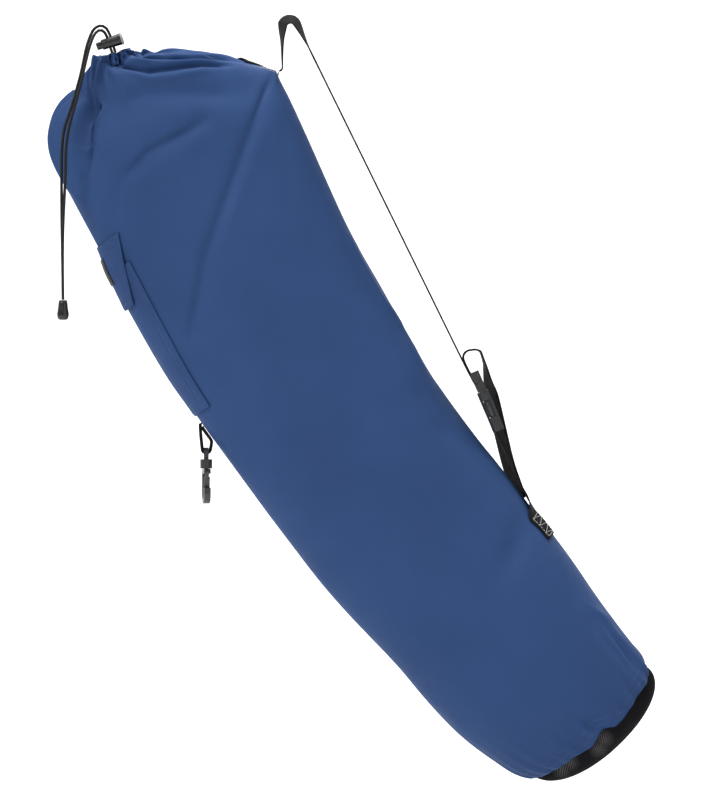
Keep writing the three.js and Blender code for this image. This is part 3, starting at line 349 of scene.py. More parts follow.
def line_place(line, x, z):
    """Distance from a chain of straight stretches, above 0 to the left of its way, and how far along."""
    nearest = np.full(np.shape(x), 1e9)
    signed = np.zeros(np.shape(x))
    along = np.zeros(np.shape(x))
    gone = 0.0
    for (ax, az), (bx, bz) in zip(line, line[1:]):
        dx, dz = bx - ax, bz - az
        length = math.hypot(dx, dz)
        t = np.clip(((x - ax) * dx + (z - az) * dz) / length**2, 0, 1)
        away = np.hypot(x - ax - t * dx, z - az - t * dz)
        side = np.sign(dx * (z - az) - dz * (x - ax))
        better = away < nearest
        nearest = np.where(better, away, nearest)
        signed = np.where(better, away * np.where(side == 0, 1, side), signed)
        along = np.where(better, gone + t * length, along)
        gone += length
    return signed, along, gone


def resampled(points, step):
    """Points an even step apart along a chain, and each point's place along it."""
    points = np.asarray(points, float)
    lengths = np.concatenate([[0], np.cumsum(np.linalg.norm(np.diff(points, axis=0), axis=1))])
    count = max(2, int(round(lengths[-1] / step)) + 1)
    places = np.linspace(0, lengths[-1], count)
    columns = [np.interp(places, lengths, points[:, k]) for k in range(points.shape[1])]
    return np.stack(columns, axis=1), places


def eased_chain(points, step):
    """A smooth curve through points, at about an even step."""
    points = np.asarray(points, float)
    lengths = np.concatenate([[0], np.cumsum(np.linalg.norm(np.diff(points[:, :3], axis=0), axis=1))])
    keep = np.concatenate([[True], np.diff(lengths) > 1e-6])
    points, lengths = points[keep], lengths[keep]
    count = max(2, int(round(lengths[-1] / step)) + 1)
    places = np.linspace(0, lengths[-1], count)
    columns = [
        column_at(np.column_stack([lengths, points[:, k]]), 1, places) for k in range(points.shape[1])
    ]
    return np.stack(columns, axis=1)


# The bag's body, as the part's solids have it: x across, y from front to back, z from the foot to the mouth
BAG_TILT = math.radians(34.6)
FOOT_ACROSS, FOOT_DOWN = 290.7, 668.7
BODY_WIDTH, BODY_DEPTH = 200.0, 112.0
SHOULDER_HEIGHT, SEAM_HEIGHT = 684.0, 21.0
SEAM_TILT, SEAM_REACH = math.radians(11), 0.24
NECK_ACROSS, NECK_HEIGHT, NECK_TILT = -17.0, 771.0, math.radians(24.6)
NECK_WIDTH, NECK_DEPTH = 29.0, 40.0
PLEATS, PLEAT_DEPTH = 10, 2.6
CASING_HEIGHT, CASING_LIFT, CASING_WALL, CASING_CROWN = 11.0, 0.84, 2.4, 1.5
CLOTH_WALL, LAY_GAP, SEAM_GAP = 1.2, 0.9, 0.3
FOLD_DEPTH, FOLD_REACH, FOLD_SHARE = 10.0, 20.0, 0.5
NET_DEPTH, NET_FULLNESS, NET_SKEW = 35.5, 2.15, 9.0

BODY_NODES = ["body_foot", "body_lower", "body_middle", "body_upper", "body_shoulder"]

# along, shift, width, depth
SECTIONS = [
    (0, -0.002, 0.715, 1.12), (0.015, -0.022, 0.78, 1.16), (0.035, -0.044, 0.815, 1.19),
    (0.11, -0.094, 0.898, 1.17), (0.22, -0.122, 0.955, 1.1), (0.35, -0.165, 0.99, 1.03),
    (0.46, -0.184, 0.993, 0.99), (0.56, -0.191, 1.003, 0.96), (0.66, -0.178, 1.045, 0.92),
    (0.75, -0.159, 1.058, 0.88), (0.89, -0.095, 1.09, 0.8), (1, -0.043, 1.115, 0.76),
]
# angle, where the shoulder starts, fullness of its curve
SHOULDERS = [
    (0, 1, 1.16), (35, 0.98, 2), (90, 0.965, 2.8), (135, 1, 2.8),
    (165, 1.04, 2.9), (195, 0.99, 1.7), (225, 0.965, 1.9), (275, 0.95, 2.6),
    (325, 0.975, 1.8),
]
# side, depth, reach, line
FOLDS = [
    (-1, 0.42, 0.42, [(0.47, 0.985), (0.23, 0.945), (-0.08, 0.88), (-0.24, 0.842), (-0.49, 0.77)]),
    (-1, -0.25, 1.1, [(0.5, 0.96), (0.34, 0.89), (0.11, 0.79)]),
    (-1, 1.5, 0.75, [(-0.31, 1.13), (-0.28, 1.1), (-0.42, 1.07)]),
    (-1, 0.4, 0.4, [(0.1, 0.998), (-0.15, 1.001), (-0.34, 0.998), (-0.44, 0.978), (-0.5, 0.955)]),
    (-1, 0.5, 0.75, [(-0.16, 1.07), (0.02, 1.06), (0.25, 1.02), (0.36, 1)]),
    (-1, 0.55, 0.9, [(0.22, 0.52), (0.26, 0.44)]),
    (-1, 0.4, 0.6, [(0.31, 0.315), (0.16, 0.285), (0.06, 0.27)]),
    (-1, 0.35, 0.28, [(0.27, 0.14), (0.29, 0.09), (0.305, 0.035)]),
    (-1, 0.5, 0.45, [(-0.09, 0.06), (-0.02, 0.012)]),
    (-1, 0.4, 0.4, [(-0.28, 0.055), (-0.27, 0.01)]),
    (1, 0.4, 0.6, [(0.42, 0.97), (0.1, 0.86), (-0.3, 0.8)]),
    (1, 0.4, 1.1, [(0.2, 0.56), (-0.2, 0.47), (-0.5, 0.44)]),
    (1, 0.45, 0.5, [(0.05, 0.1), (0.02, 0.02)]),
]
# depth, reach, line, seen from above the shoulder
GROOVES = [
    (1.7, 0.45, [(-0.3, -0.08), (-0.44, -0.12), (-0.62, -0.1)]),
    (0.7, 0.5, [(-0.08, 0.2), (0.02, 0.32)]),
    (0.6, 0.3, [(0.06, -0.1), (0.3, -0.12)]),
]
# Folds that only the cloth has: side, depth, width left and right of the line, and the line itself, given
# in pixels of the photograph. A depth below 0 stands out, and side 0 is both front and back.
ORIGIN_PIXEL, PIXEL_SIZE = (290, 20), 0.93
FINE_FOLDS = [
    (-1, 2.4, 2.4, 3.4, [(272, 76), (240, 165), (205, 260), (190, 340)]),
    (-1, -0.9, 7, 7, [(278, 84), (250, 168), (217, 262)]),
    (-1, 2.6, 4.2, 2.2, [(205, 122), (175, 138), (150, 150), (122, 180)]),
    (-1, 2.2, 8, 8, [(118, 104), (148, 92), (190, 93), (235, 97)]),
    (-1, 0.6, 5, 5, [(283, 109), (288, 180), (292, 269)]),
    (-1, -2.4, 3, 3, [(345, 228), (359, 258), (384, 302), (407, 331), (418, 359), (430, 372)]),
    (-1, 2.6, 7, 7, [(430, 420), (460, 440)]),
    (-1, -1.2, 4, 4, [(430, 460), (445, 490)]),
    (-1, 2.2, 12, 12, [(437, 384), (470, 425), (496, 463)]),
    (-1, 2.2, 6, 6, [(530, 515), (515, 548), (503, 577)]),
    (-1, -2.8, 3.2, 2.4, [(585, 604), (608, 620), (627, 646), (643, 674)]),
    (-1, -2.0, 2.6, 2.2, [(598, 622), (624, 662), (639, 682)]),
    (-1, 2.6, 2.6, 2.6, [(600, 612), (620, 634), (642, 664)]),
    (-1, 2.0, 2.2, 2.2, [(600, 620), (616, 640), (634, 668)]),
    (-1, 3.4, 6, 6, [(566, 708), (590, 728)]),
    (-1, -2.6, 3.6, 5, [(99, 65), (118, 71), (150, 79), (174, 77), (197, 72), (215, 70)]),
    (0, 5.5, 3.0, 2.0, [(102, 60), (124, 67), (150, 72), (176, 69), (205, 65), (235, 66)]),
    (0, -2.6, 2.2, 2.2, [(110, 57), (135, 62), (165, 64), (200, 61), (230, 62.5)]),
    (0, 3.6, 1.7, 1.7, [(112, 52.5), (138, 58.5), (170, 60), (205, 58), (240, 61)]),
    (0, -2.2, 2.0, 2.0, [(118, 50), (145, 55.5), (180, 56), (215, 55.5), (240, 58.5)]),
    (0, 2.4, 1.6, 1.6, [(122, 49), (150, 52), (185, 52.5), (215, 53)]),
    (-1, 6.5, 1.7, 13, [(78, 79), (94, 93.5), (98.5, 108), (85.5, 125), (68, 134)]),
    (-1, -1.6, 4.5, 1.5, [(80, 76), (97, 92), (101.5, 108), (88, 127), (70, 137)]),
    (0, 4.0, 4, 4, [(72, 90), (81, 86)]),
    (-1, 2.2, 2.2, 2.6, [(69.5, 151), (73, 168), (76, 183)]),
    (-1, 0.8, 15, 15, [(250, 330), (330, 470), (430, 620)]),
    (-1, 0.8, 12, 12, [(360, 420), (400, 520), (470, 640)]),
    (-1, 1.0, 8, 8, [(330, 620), (400, 670), (450, 690)]),
    (1, 2.0, 5, 5, [(272, 76), (230, 150), (180, 240)]),
    (1, 1.4, 12, 12, [(260, 300), (340, 450), (440, 600)]),
    (1, 2.0, 6, 6, [(560, 700), (600, 660), (615, 620)]),
]

SHOULDER_ROUND = [(a + turn, t, f) for turn in (-360, 0, 360) for a, t, f in SHOULDERS]


def from_photo(line):
    """Pixels of the photograph as x and z in the part's frame."""
    left, top = ORIGIN_PIXEL
    return [(round((x - left) * PIXEL_SIZE, 1), round((top - y) * PIXEL_SIZE, 1)) for x, y in line]


def bag_to_world(p):
    c, s = math.cos(BAG_TILT), math.sin(BAG_TILT)
    x, y, z = p[..., 0], p[..., 1], p[..., 2]
    return np.stack([FOOT_ACROSS + x * c - z * s, y, -FOOT_DOWN + x * s + z * c], axis=-1)


def neck_point(angle, up, grown, fine=0.0):
    pleat = PLEAT_DEPTH * np.cos(PLEATS * (angle + math.pi / 2))
    pleat = pleat + fine * (1.0 * np.cos(23 * angle + 0.8) + 0.6 * np.cos(37 * angle + 2))
    wide = (NECK_WIDTH / 2 + pleat + grown) * np.cos(angle)
    deep = (NECK_DEPTH / 2 + pleat + grown) * np.sin(angle)
    return np.stack([
        NECK_ACROSS + wide * math.cos(NECK_TILT) + up * math.sin(NECK_TILT),
        deep,
        NECK_HEIGHT - wide * math.sin(NECK_TILT) + up * math.cos(NECK_TILT),
    ], axis=-1)


def body_base(angle, along, fine=0.0):
    angle, along = np.broadcast_arrays(np.asarray(angle, float), np.asarray(along, float))
    up = np.minimum(along, 1)
    turned = np.degrees(angle) % 360
    half = BODY_WIDTH * column_at(SECTIONS, 2, up) / 2
    deep = BODY_DEPTH * column_at(SECTIONS, 3, up) / 2
    turn = SHOULDER_HEIGHT * column_at(SHOULDER_ROUND, 1, turned)
    x = BODY_WIDTH * column_at(SECTIONS, 1, up) + half * np.cos(angle)
    z = SEAM_HEIGHT + (turn - SEAM_HEIGHT) * up
    z = z + math.tan(SEAM_TILT) * half * np.cos(angle) * (1 - smooth(up / SEAM_REACH))
    side = np.stack([x, deep * np.sin(angle), z], axis=-1)
    quarter = np.maximum(along - 1, 0) * math.pi / 2
    power = 2 / column_at(SHOULDER_ROUND, 2, turned)
    out = np.maximum(np.cos(quarter), 0) ** power
    rise = np.sin(quarter) ** power
    neck = neck_point(angle, 0, 0, fine)
    shoulder = np.stack([
        neck[..., 0] + (x - neck[..., 0]) * out,
        neck[..., 1] + (side[..., 1] - neck[..., 1]) * out,
        z + (neck[..., 2] - z) * rise,
    ], axis=-1)
    return np.where((along <= 1)[..., None], side, shoulder)


def body_out(angle, along):
    step = 0.02
    low, high = np.maximum(along - step, 0), np.minimum(along + step, 2 - step / 2)
    upwards = body_base(angle, high) - body_base(angle, np.minimum(low, 2 - 3 * step))
    level = np.minimum(along, 1.7)
    across = body_base(angle + 3 * step, level) - body_base(angle - 3 * step, level)
    out = np.cross(across, upwards)
    return out / np.linalg.norm(out, axis=-1, keepdims=True)


def fold_offset(p, share):
    offset = np.zeros(p.shape[:-1])
    for side, depth, reach, line in FOLDS:
        scaled = [(a * BODY_WIDTH, b * SHOULDER_HEIGHT) for a, b in line]
        away, _, _ = line_place(scaled, p[..., 0], p[..., 2])
        facing = smooth(0.5 + 4 * side * p[..., 1] / BODY_DEPTH)
        offset -= share * depth * FOLD_DEPTH * np.exp(-((away / (reach * FOLD_REACH)) ** 2)) * facing
    return offset


def groove_depth(p, along):
    sunk = np.zeros(p.shape[:-1])
    for depth, reach, line in GROOVES:
        scaled = [(a * BODY_WIDTH, b * BODY_DEPTH) for a, b in line]
        away, _, _ = line_place(scaled, p[..., 0], p[..., 1])
        sunk += depth * FOLD_DEPTH * np.exp(-((away / (reach * FOLD_REACH)) ** 2))
    return sunk * smooth((along - 1.05) / 0.3) * smooth((1.98 - along) / 0.2)


FOLD_TAPER = 22.0
MOUTH_PLEATS, MOUTH_PLEAT_DEPTH, MOUTH_TWIST = 13, 1.5, 1.6
# How far the rim of bunched cloth round the mouth stands up, by angle
LIP = [(0, 5.0), (35, 7.5), (70, 7.0), (110, 4.0), (145, 2.0), (170, 7.0), (187, 15.5), (203, 17.0),
       (217, 15.0), (236, 8.0), (254, 2.0), (270, 0.0), (300, 0.0), (335, 2.0)]
LIP_AT, LIP_WIDE = 0.075, 0.06
# How far the cloth hangs over the net at the front, from the right end of the seam to its left
HEM = [(0, 0), (0.045, 8.5), (0.079, 11.9), (0.169, 13.7), (0.298, 17.7), (0.427, 18.5),
       (0.48, 13.3), (0.556, 14.0), (0.655, 15.8), (0.742, 11.6), (0.837, 9.4),
       (0.91, 6.5), (0.982, 2.6), (1, 0)]
HEM_FADE, HEM_STEP, HEM_LAP = 0.1, 0.7, 0.4
LIP_ROUND = [(a + turn, r) for turn in (-360, 0, 360) for a, r in LIP]
PUCKERS, PUCKER_DEPTH, PUCKER_REACH = 31, 1.2, 20.0


def mouth_pleat(angle, down):
    """Pleats that leave the mouth aslant, narrow between broad backs."""
    turned = angle - MOUTH_TWIST * down * np.exp(-down / 0.5)
    wave = np.cos(MOUTH_PLEATS * turned + 1.6 * np.sin(2 * turned))
    return 1.3 * np.abs(wave) ** 0.6 * np.sign(wave) + 0.5 * np.cos(29 * turned + 1)


def lip_rise(angle, along):
    down = 2 - along
    bunched = np.exp(-(((down - LIP_AT) / LIP_WIDE) ** 2)) * smooth(down / 0.02)
    return column_at(LIP_ROUND, 1, np.degrees(angle) % 360) * bunched


def fine_offset(p, angle, along):
    """The cloth's own small folds, as a height along its outward direction."""
    place = bag_to_world(p)
    offset = np.zeros(p.shape[:-1])
    for side, depth, left, right, line in FINE_FOLDS:
        away, gone, whole = line_place(from_photo(line), place[..., 0], place[..., 2])
        taper = 0.15 + 0.85 * smooth(np.minimum(gone, whole - gone) / min(FOLD_TAPER, 0.45 * whole))
        facing = smooth(0.5 + 6 * side * p[..., 1] / BODY_DEPTH) if side else 1.0
        offset -= depth * np.exp(-((away / np.where(away > 0, left, right)) ** 2)) * taper * facing
    height = along * SHOULDER_HEIGHT
    pucker = np.cos(PUCKERS * angle + 1.4 * np.sin(3 * angle)) + 0.6 * np.cos(19 * angle + 1)
    offset += PUCKER_DEPTH * pucker * np.exp(-height / PUCKER_REACH) * smooth(along / 0.004 + 0.3)
    offset += MOUTH_PLEAT_DEPTH * mouth_pleat(angle, 2 - along) * smooth((along - 1.4) / 0.4)
    slack = np.sin(5 * angle + 9 * along) * np.sin(3 * angle - 7 * along + 1)
    return offset + 0.5 * slack * smooth(along / 0.1) * smooth((1.3 - along) / 0.3)


def body_surface(angle, along, out=0.0, fine=0.0, share=FOLD_SHARE):
    angle, along = np.broadcast_arrays(np.asarray(angle, float), np.asarray(along, float))
    base = body_base(angle, along, fine)
    settle = smooth(along / 0.03) * smooth((2 - along) / 0.15)
    height = fold_offset(base, share) * settle + out
    if fine:
        height = height + fine * fine_offset(base, angle, along) * smooth((2 - along) / 0.04)
    moved = base + body_out(angle, along) * np.asarray(height)[..., None]
    moved[..., 2] -= groove_depth(base, along)
    if fine:
        lift = fine * lip_rise(angle, along)
        moved[..., 0] += math.sin(BAG_TILT) * lift
        moved[..., 2] += math.cos(BAG_TILT) * lift
    return moved


def along_at(angle, height):
    low = np.zeros(np.broadcast(angle, height).shape)
    high = low + 2
    for _ in range(26):
        middle = (low + high) / 2
        under = body_base(angle, middle)[..., 2] < height
        low, high = np.where(under, middle, low), np.where(under, high, middle)
    return low


# Columns and rows lie closer where the folds are small
BACK_COLUMNS, FRONT_COLUMNS, SHOULDER_ROWS = 90, 150, 100
column_angles = np.concatenate([
    np.linspace(0, math.pi, BACK_COLUMNS, endpoint=False),
    np.linspace(math.pi, TAU, FRONT_COLUMNS, endpoint=False),
])
body_alongs = np.concatenate([
    np.linspace(low, high, rows, endpoint=False)
    for low, high, rows in ((0, 0.06, 14), (0.06, 0.2, 16), (0.2, 0.75, 40), (0.75, 1, 36))
] + [2 - (1 - np.linspace(0, 1, SHOULDER_ROWS)) ** 1.25])


def foot_place(angle, drop, inset=0.0):
    """A place on the dome under the body's seam, so far below the seam."""
    down = np.array([math.sin(SEAM_TILT), 0, -math.cos(SEAM_TILT)])
    aside = np.array([math.cos(SEAM_TILT), 0, math.sin(SEAM_TILT)])
    centre = (body_surface(0.0, 0.0) + body_surface(math.pi, 0.0)) / 2
    fall = np.clip(drop / NET_DEPTH, 0, 1)
    out = np.maximum(1 - fall**NET_FULLNESS, 0) ** (1 / NET_FULLNESS)
    rim = body_surface(angle, 0.0, -inset)
    deep = SEAM_GAP + (NET_DEPTH - inset - SEAM_GAP) * fall
    skew = aside * (NET_SKEW * fall)[..., None]
    return centre + (rim - centre) * out[..., None] + skew + down * deep[..., None]


def hem_drop(angle):
    return np.where(np.sin(angle) < 0, column_at(HEM, 1, (1 - np.cos(angle)) / 2), 0)


def hem_shift(angle, along):
    """The cloth's lower edge hangs over the net at the front, in a wavy line."""
    drop = hem_drop(angle)
    shift = foot_place(angle, drop) - foot_place(angle, 0 * drop)
    out = body_out(angle, np.zeros_like(drop)) * HEM_STEP
    return shift * (1 - smooth(along / HEM_FADE))[..., None] + out * (1 - smooth(along / 0.02))[..., None]


def make_body():
    angle, along = np.broadcast_arrays(column_angles[None, :], body_alongs[:, None])
    over = hem_shift(angle, along)
    outer = bag_to_world(body_surface(angle, along, 0, 1) + over)
    inner = bag_to_world(body_surface(angle, along, -CLOTH_WALL, 1) + over)
    sheet("cloth_body", outer, inner, CLOTH, "cloth", closed=True, replaces=BODY_NODES)


def make_casing():
    """The gathered hem round the mouth."""
    heights = np.array([0, 0.04, 0.12, 0.3, 0.5, 0.72, 0.88, 0.96, 1, 0.985])
    swell = np.array([2.2, 2.6, 2.2, 1.5, 0.9, 1.0, 0.7, 0.2, -0.4, -1.0])
    up = CASING_LIFT + CASING_HEIGHT * heights[:, None]
    angle = column_angles[None, :]
    ripple = 1.1 * mouth_pleat(angle + 0.9 * heights[:, None], 0 * angle) * smooth(heights / 0.1)[:, None]
    up = up + heights[:, None] ** 2 * (CASING_CROWN * np.cos(angle - 0.4) + 0.8 * np.cos(7 * angle) + 1.5)
    outer = bag_to_world(neck_point(angle, up, swell[:, None] + ripple, 1))
    inner = bag_to_world(neck_point(angle, up, -CASING_WALL + 0.5 * ripple, 1))
    sheet("cloth_casing", outer, inner, CLOTH, "cloth", closed=True, replaces=["neck_casing"])


NET_ROWS = 34


def make_net():
    angle = column_angles[None, :]
    start = np.maximum(hem_drop(angle) - HEM_LAP, 0)
    quarter = np.linspace(0, 1, NET_ROWS)[:, None] ** 0.9
    drop = start + (NET_DEPTH - start) * np.sin(quarter * math.pi / 2)
    slack = 0.8 * np.sin(7 * angle) * np.sin(math.pi * quarter)
    layers = []
    for inset in (0, CLOTH_WALL):
        p = foot_place(np.broadcast_to(angle, drop.shape), drop, inset)
        p[..., 1] += slack * np.sign(p[..., 1])
        p[-1] = p[-1].mean(axis=0)
        layers.append(bag_to_world(p))
    sheet("net_base", layers[0], layers[1], NET, "net", closed=True, pole=True, replaces=["base_net"])


# Pocket, flap and patch, laid on the body between two angles and two heights
POCKET_NEAR, POCKET_FAR, POCKET_FOOT, POCKET_LENGTH, POCKET_PUFF = 212.0, 117.0, 462.0, 153.0, 1.6
FLAP_TOP, FLAP_LENGTH, FLAP_OVER, FLAP_LIFT = 643.0, 64.0, 3.0, 2.8
PATCH_TOP, PATCH_LENGTH, PATCH_NEAR, PATCH_FAR, PATCH_WALL = 631.0, 26.0, 187.0, 140.0, 1.0
PATCH_LIFT = 0.15
UPPER_TURN, LOWER_TURN = 24.0, -12.0
FLAP_NEAR, FLAP_FAR = POCKET_NEAR + FLAP_OVER, POCKET_FAR - FLAP_OVER
FLAP_SKEW = 17.0


def pocket_rise(u, v):
    return POCKET_PUFF * np.sin(math.pi * np.clip(u, 0, 1)) * smooth(v / 0.3)


def flap_rise(u, v):
    mouth = (FLAP_TOP - POCKET_FOOT - POCKET_LENGTH) / FLAP_LENGTH
    over = smooth((1 - v) / mouth)
    puff = CLOTH_WALL + SEAM_GAP + POCKET_PUFF * np.sin(math.pi * np.clip(u, 0, 1))
    return over * puff + FLAP_LIFT * (1 - v) ** 2 * (1 - 0.65 * u)


def patch_rise(u, v):
    angle = PATCH_NEAR + (PATCH_FAR - PATCH_NEAR) * u
    height = PATCH_TOP - PATCH_LENGTH * (1 - v)
    flap_u = (FLAP_NEAR - angle) / (FLAP_NEAR - FLAP_FAR)
    flap_v = (height - FLAP_TOP + FLAP_LENGTH) / FLAP_LENGTH
    return flap_rise(flap_u, flap_v) + CLOTH_WALL + PATCH_LIFT


def laid(u, v, near, far, foot, top, out, skew=0.0):
    near = near - skew * (1 - v)
    angle = np.radians(near + (far - near) * u)
    along = along_at(angle, foot + (top - foot) * v)
    return bag_to_world(body_surface(angle, along, LAY_GAP + out, 0.6))


def edged(count, edge):
    """Shares from 0 to 1 with close rows at both ends."""
    middle = np.linspace(edge, 1 - edge, count)
    return np.concatenate([[0, edge / 4], middle, [1 - edge / 4, 1]])


def make_laid(name, rows, columns, area, wall, rise, material, slot, node, skew=0.0):
    u, v = edged(columns, 0.02)[None, :], edged(rows, 0.02)[:, None]
    u, v = np.broadcast_arrays(u, v)
    edge = np.minimum.reduce([u / 0.02, (1 - u) / 0.02, v / 0.02, (1 - v) / 0.02])
    crown = wall * (0.55 + 0.45 * smooth(edge))
    lift = rise(u, v)
    outer = laid(u, v, *area, lift + crown, skew)
    inner = laid(u, v, *area, lift, skew)
    sheet(name, outer, inner, material, slot, replaces=[node])


POCKET_AREA = (POCKET_NEAR, POCKET_FAR, POCKET_FOOT, POCKET_FOOT + POCKET_LENGTH)
FLAP_AREA = (FLAP_NEAR, FLAP_FAR, FLAP_TOP - FLAP_LENGTH, FLAP_TOP)
PATCH_AREA = (PATCH_NEAR, PATCH_FAR, PATCH_TOP - PATCH_LENGTH, PATCH_TOP)

make_body()
make_casing()
make_net()
make_laid("pocket_cloth", 34, 44, POCKET_AREA, CLOTH_WALL, pocket_rise, CLOTH, "cloth", "pocket_panel")
make_laid("flap_cloth", 24, 40, FLAP_AREA, CLOTH_WALL, flap_rise, CLOTH, "cloth", "pocket_flap", FLAP_SKEW)
make_laid("patch_plain", 12, 18, PATCH_AREA, PATCH_WALL, patch_rise, RUBBER, "patch", "flap_patch")


# Webbing. A row of it is a place on its middle, the way across it, the way out of it, and how far its middle
# stands above its edges. A corner of its route is x, y, z and the radius of the bend there.
WEB_WIDTH, WEB_WALL, WEB_GAP, WEB_LIFT = 25.0, 1.5, 0.35, 0.5
WEB_STEP, WEB_REACH, WEB_TURN = 0.5, 24.0, math.radians(20)
UPPER_PATCH, LOWER_PATCH, LOWER_ANCHOR, SEWN_ROWS = 32.0, 26.0, 197.0, 4
UPPER_AWAY, LOWER_AWAY = 2.15, 1.65
PEG_RADIUS, PEAK_TWIST, STRAP_BEND, FOLD_BACK = 6.5, 22.0, 2.2, 25.0
ARCH_HEIGHT, ARCH_WIDTH = 22.0, 18.0
TAIL_LENGTH, TAIL_BEHIND, TAIL_TWIST = 107.0, 30.0, -27.0
BUCKLE_SHARE, BUCKLE_ASIDE, BUCKLE_LEAN = 0.762, 5.3, math.radians(3.5)
PLUG_LENGTH, FLANGE_THICK, SOCKET_LENGTH, BAR_THICK = 19.8, 3.0, 39.5, 3.8
BEND_STEPS, HEADING_STEP = 200, 0.0001
WEB_OUT = LAY_GAP + WEB_WALL / 2
TURN_RADIUS = BAR_THICK / 2 + WEB_GAP + WEB_WALL / 2
INNER_BAR = FLANGE_THICK + SEAM_GAP + 2 * WEB_GAP + WEB_WALL + BAR_THICK / 2
OUTER_BAR, LOWER_BAR = PLUG_LENGTH - BAR_THICK / 2, BAR_THICK / 2 - SOCKET_LENGTH
CROSS_RISE = TURN_RADIUS * math.tan(math.asin(2 * TURN_RADIUS / (OUTER_BAR - INNER_BAR)) / 2)
SHARES = np.array([-0.5, 0, 0.5])


def side_along(height):
    return float(along_at(np.zeros(1), height)[0])


def solid_place(angle, along, out):
    """A place over the body as its solids have it, with the folds at their full depth."""
    return bag_to_world(body_surface(angle, along, out, share=1.0))


def sewn(alongs, turned, away):
    """Rows of webbing that lie on the body, a few degrees round from its side."""
    made = []
    for along in alongs:
        deep = body_surface(math.pi / 2, min(along, 1))[1]
        spots = math.radians(turned) + np.arcsin(SHARES * WEB_WIDTH / deep)
        on = bag_to_world(body_surface(spots, np.full(3, along), away, 1))
        above = bag_to_world(body_surface(spots, np.full(3, along), away + 1, 1))
        across, out = on[2] - on[0], above[1] - on[1]
        across /= np.linalg.norm(across)
        out /= np.linalg.norm(out)
        made.append((*on[1], *across, *out, (on[1] - (on[0] + on[2]) / 2) @ out))
    return made


def rounded_route(corners):
    """A dense chain of straight stretches with round corners, and each point's place along it."""
    places = [np.array(corner[:3], float) for corner in corners]
    t = np.linspace(0, 1, BEND_STEPS + 1)[:, None]
    chain = [places[0]]
    for (_, _, _, radius), corner, after in zip(corners[1:-1], places[1:-1], places[2:]):
        back, ahead = chain[-1] - corner, after - corner
        back_long, ahead_long = np.linalg.norm(back), np.linalg.norm(ahead)
        turn = math.pi - math.acos(back @ ahead / (back_long * ahead_long))
        room = min(radius * math.tan(turn / 2), 0.98 * back_long, 0.6 * ahead_long)
        start, end = corner + back / back_long * room, corner + ahead / ahead_long * room
        pull = 4 / 3 * math.tan(turn / 4) / math.tan(turn / 2)
        a, b = start + (corner - start) * pull, end + (corner - end) * pull
        chain.extend((1 - t)**3 * start + 3 * (1 - t)**2 * t * a + 3 * (1 - t) * t**2 * b + t**3 * end)
    chain = np.array([*chain, places[-1]])
    return chain, np.concatenate([[0], np.cumsum(np.linalg.norm(np.diff(chain, axis=0), axis=1))])


def route_point(route, share):
    chain, lengths = route
    place = np.clip(share, 0, 1) * lengths[-1]
    return np.stack([np.interp(place, lengths, chain[:, k]) for k in range(3)], axis=-1)


def route_heading(route, share):
    ahead = route_point(route, share + HEADING_STEP) - route_point(route, share - HEADING_STEP)
    return ahead / np.linalg.norm(ahead, axis=-1, keepdims=True)


def eased_at(rows, place):
    """A table's second column at a place in its first, level at each row."""
    for (before, start), (after, end) in zip(rows, rows[1:]):
        if place <= after:
            return start + (end - start) * smooth((place - before) / (after - before))
    return rows[-1][1]


def free_rows(route, twists=((0, 0), (1, 0))):
    """Rows of free webbing along a route, more of them where it bends."""
    count = math.ceil(route[1][-1] / WEB_STEP)
    headings = route_heading(route, np.arange(count + 1) / count)
    bends = np.arccos(np.clip(np.einsum("ij,ij->i", headings[1:], headings[:-1]), -1, 1))
    shares, turned, gone = [0.0], 0.0, 0.0
    for k, bend in enumerate(bends, 1):
        turned, gone = turned + bend, gone + WEB_STEP
        if turned > WEB_TURN or gone > WEB_REACH or k == count:
            shares.append(k / count)
            turned, gone = 0.0, 0.0
    rows = []
    for share in shares:
        heading = route_heading(route, share)
        flat = np.array([0, 1, 0]) - heading * heading[1]
        flat /= np.linalg.norm(flat)
        twist = math.radians(eased_at(twists, share))
        across = flat * math.cos(twist) + np.cross(heading, flat) * math.sin(twist)
        rows.append((*route_point(route, share), *across, *np.cross(heading, across), 0.0))
    return rows


# The buckle stands beside the straight line from the strap's top to the lower anchor. Its own frame has z
# along the strap and x through its thickness.
ANCHOR = solid_place(0.0, side_along(LOWER_ANCHOR + LOWER_PATCH / 2), WEB_OUT)
STRAP_LINE = ANCHOR / np.linalg.norm(ANCHOR)
BUCKLE_PLACE = ANCHOR * BUCKLE_SHARE + np.array([-STRAP_LINE[2], 0, STRAP_LINE[0]]) * BUCKLE_ASIDE
BUCKLE_TURN = math.atan2(STRAP_LINE[0], -STRAP_LINE[2]) - BUCKLE_LEAN


def buckle_to_world(p):
    c, s = math.cos(BUCKLE_TURN), math.sin(BUCKLE_TURN)
    x, y, z = p[..., 0], p[..., 1], p[..., 2]
    return np.stack([x * c - z * s, y, x * s + z * c], axis=-1) + BUCKLE_PLACE


def buckle_corners(rows):
    return [(*buckle_to_world(np.array(row[:3], float)), *row[3:]) for row in rows]


def over_peg(left, right):
    """The corner where the strap's two straight stretches meet above its peg."""
    radius = PEG_RADIUS + WEB_WALL / 2
    ways = []
    for place, side in ((left, -1), (right, 1)):
        away = np.array([0, 0, -PEG_RADIUS]) - place
        turn = side * math.asin(radius / np.linalg.norm(away))
        c, s = math.cos(turn), math.sin(turn)
        ways.append(np.array([away[0] * c + away[2] * s, away[1], away[2] * c - away[0] * s]))
    a, b = ways
    t = ((right[0] - left[0]) * b[2] - (right[2] - left[2]) * b[0]) / (a[0] * b[2] - a[2] * b[0])
    return (*(left + a * t), radius)


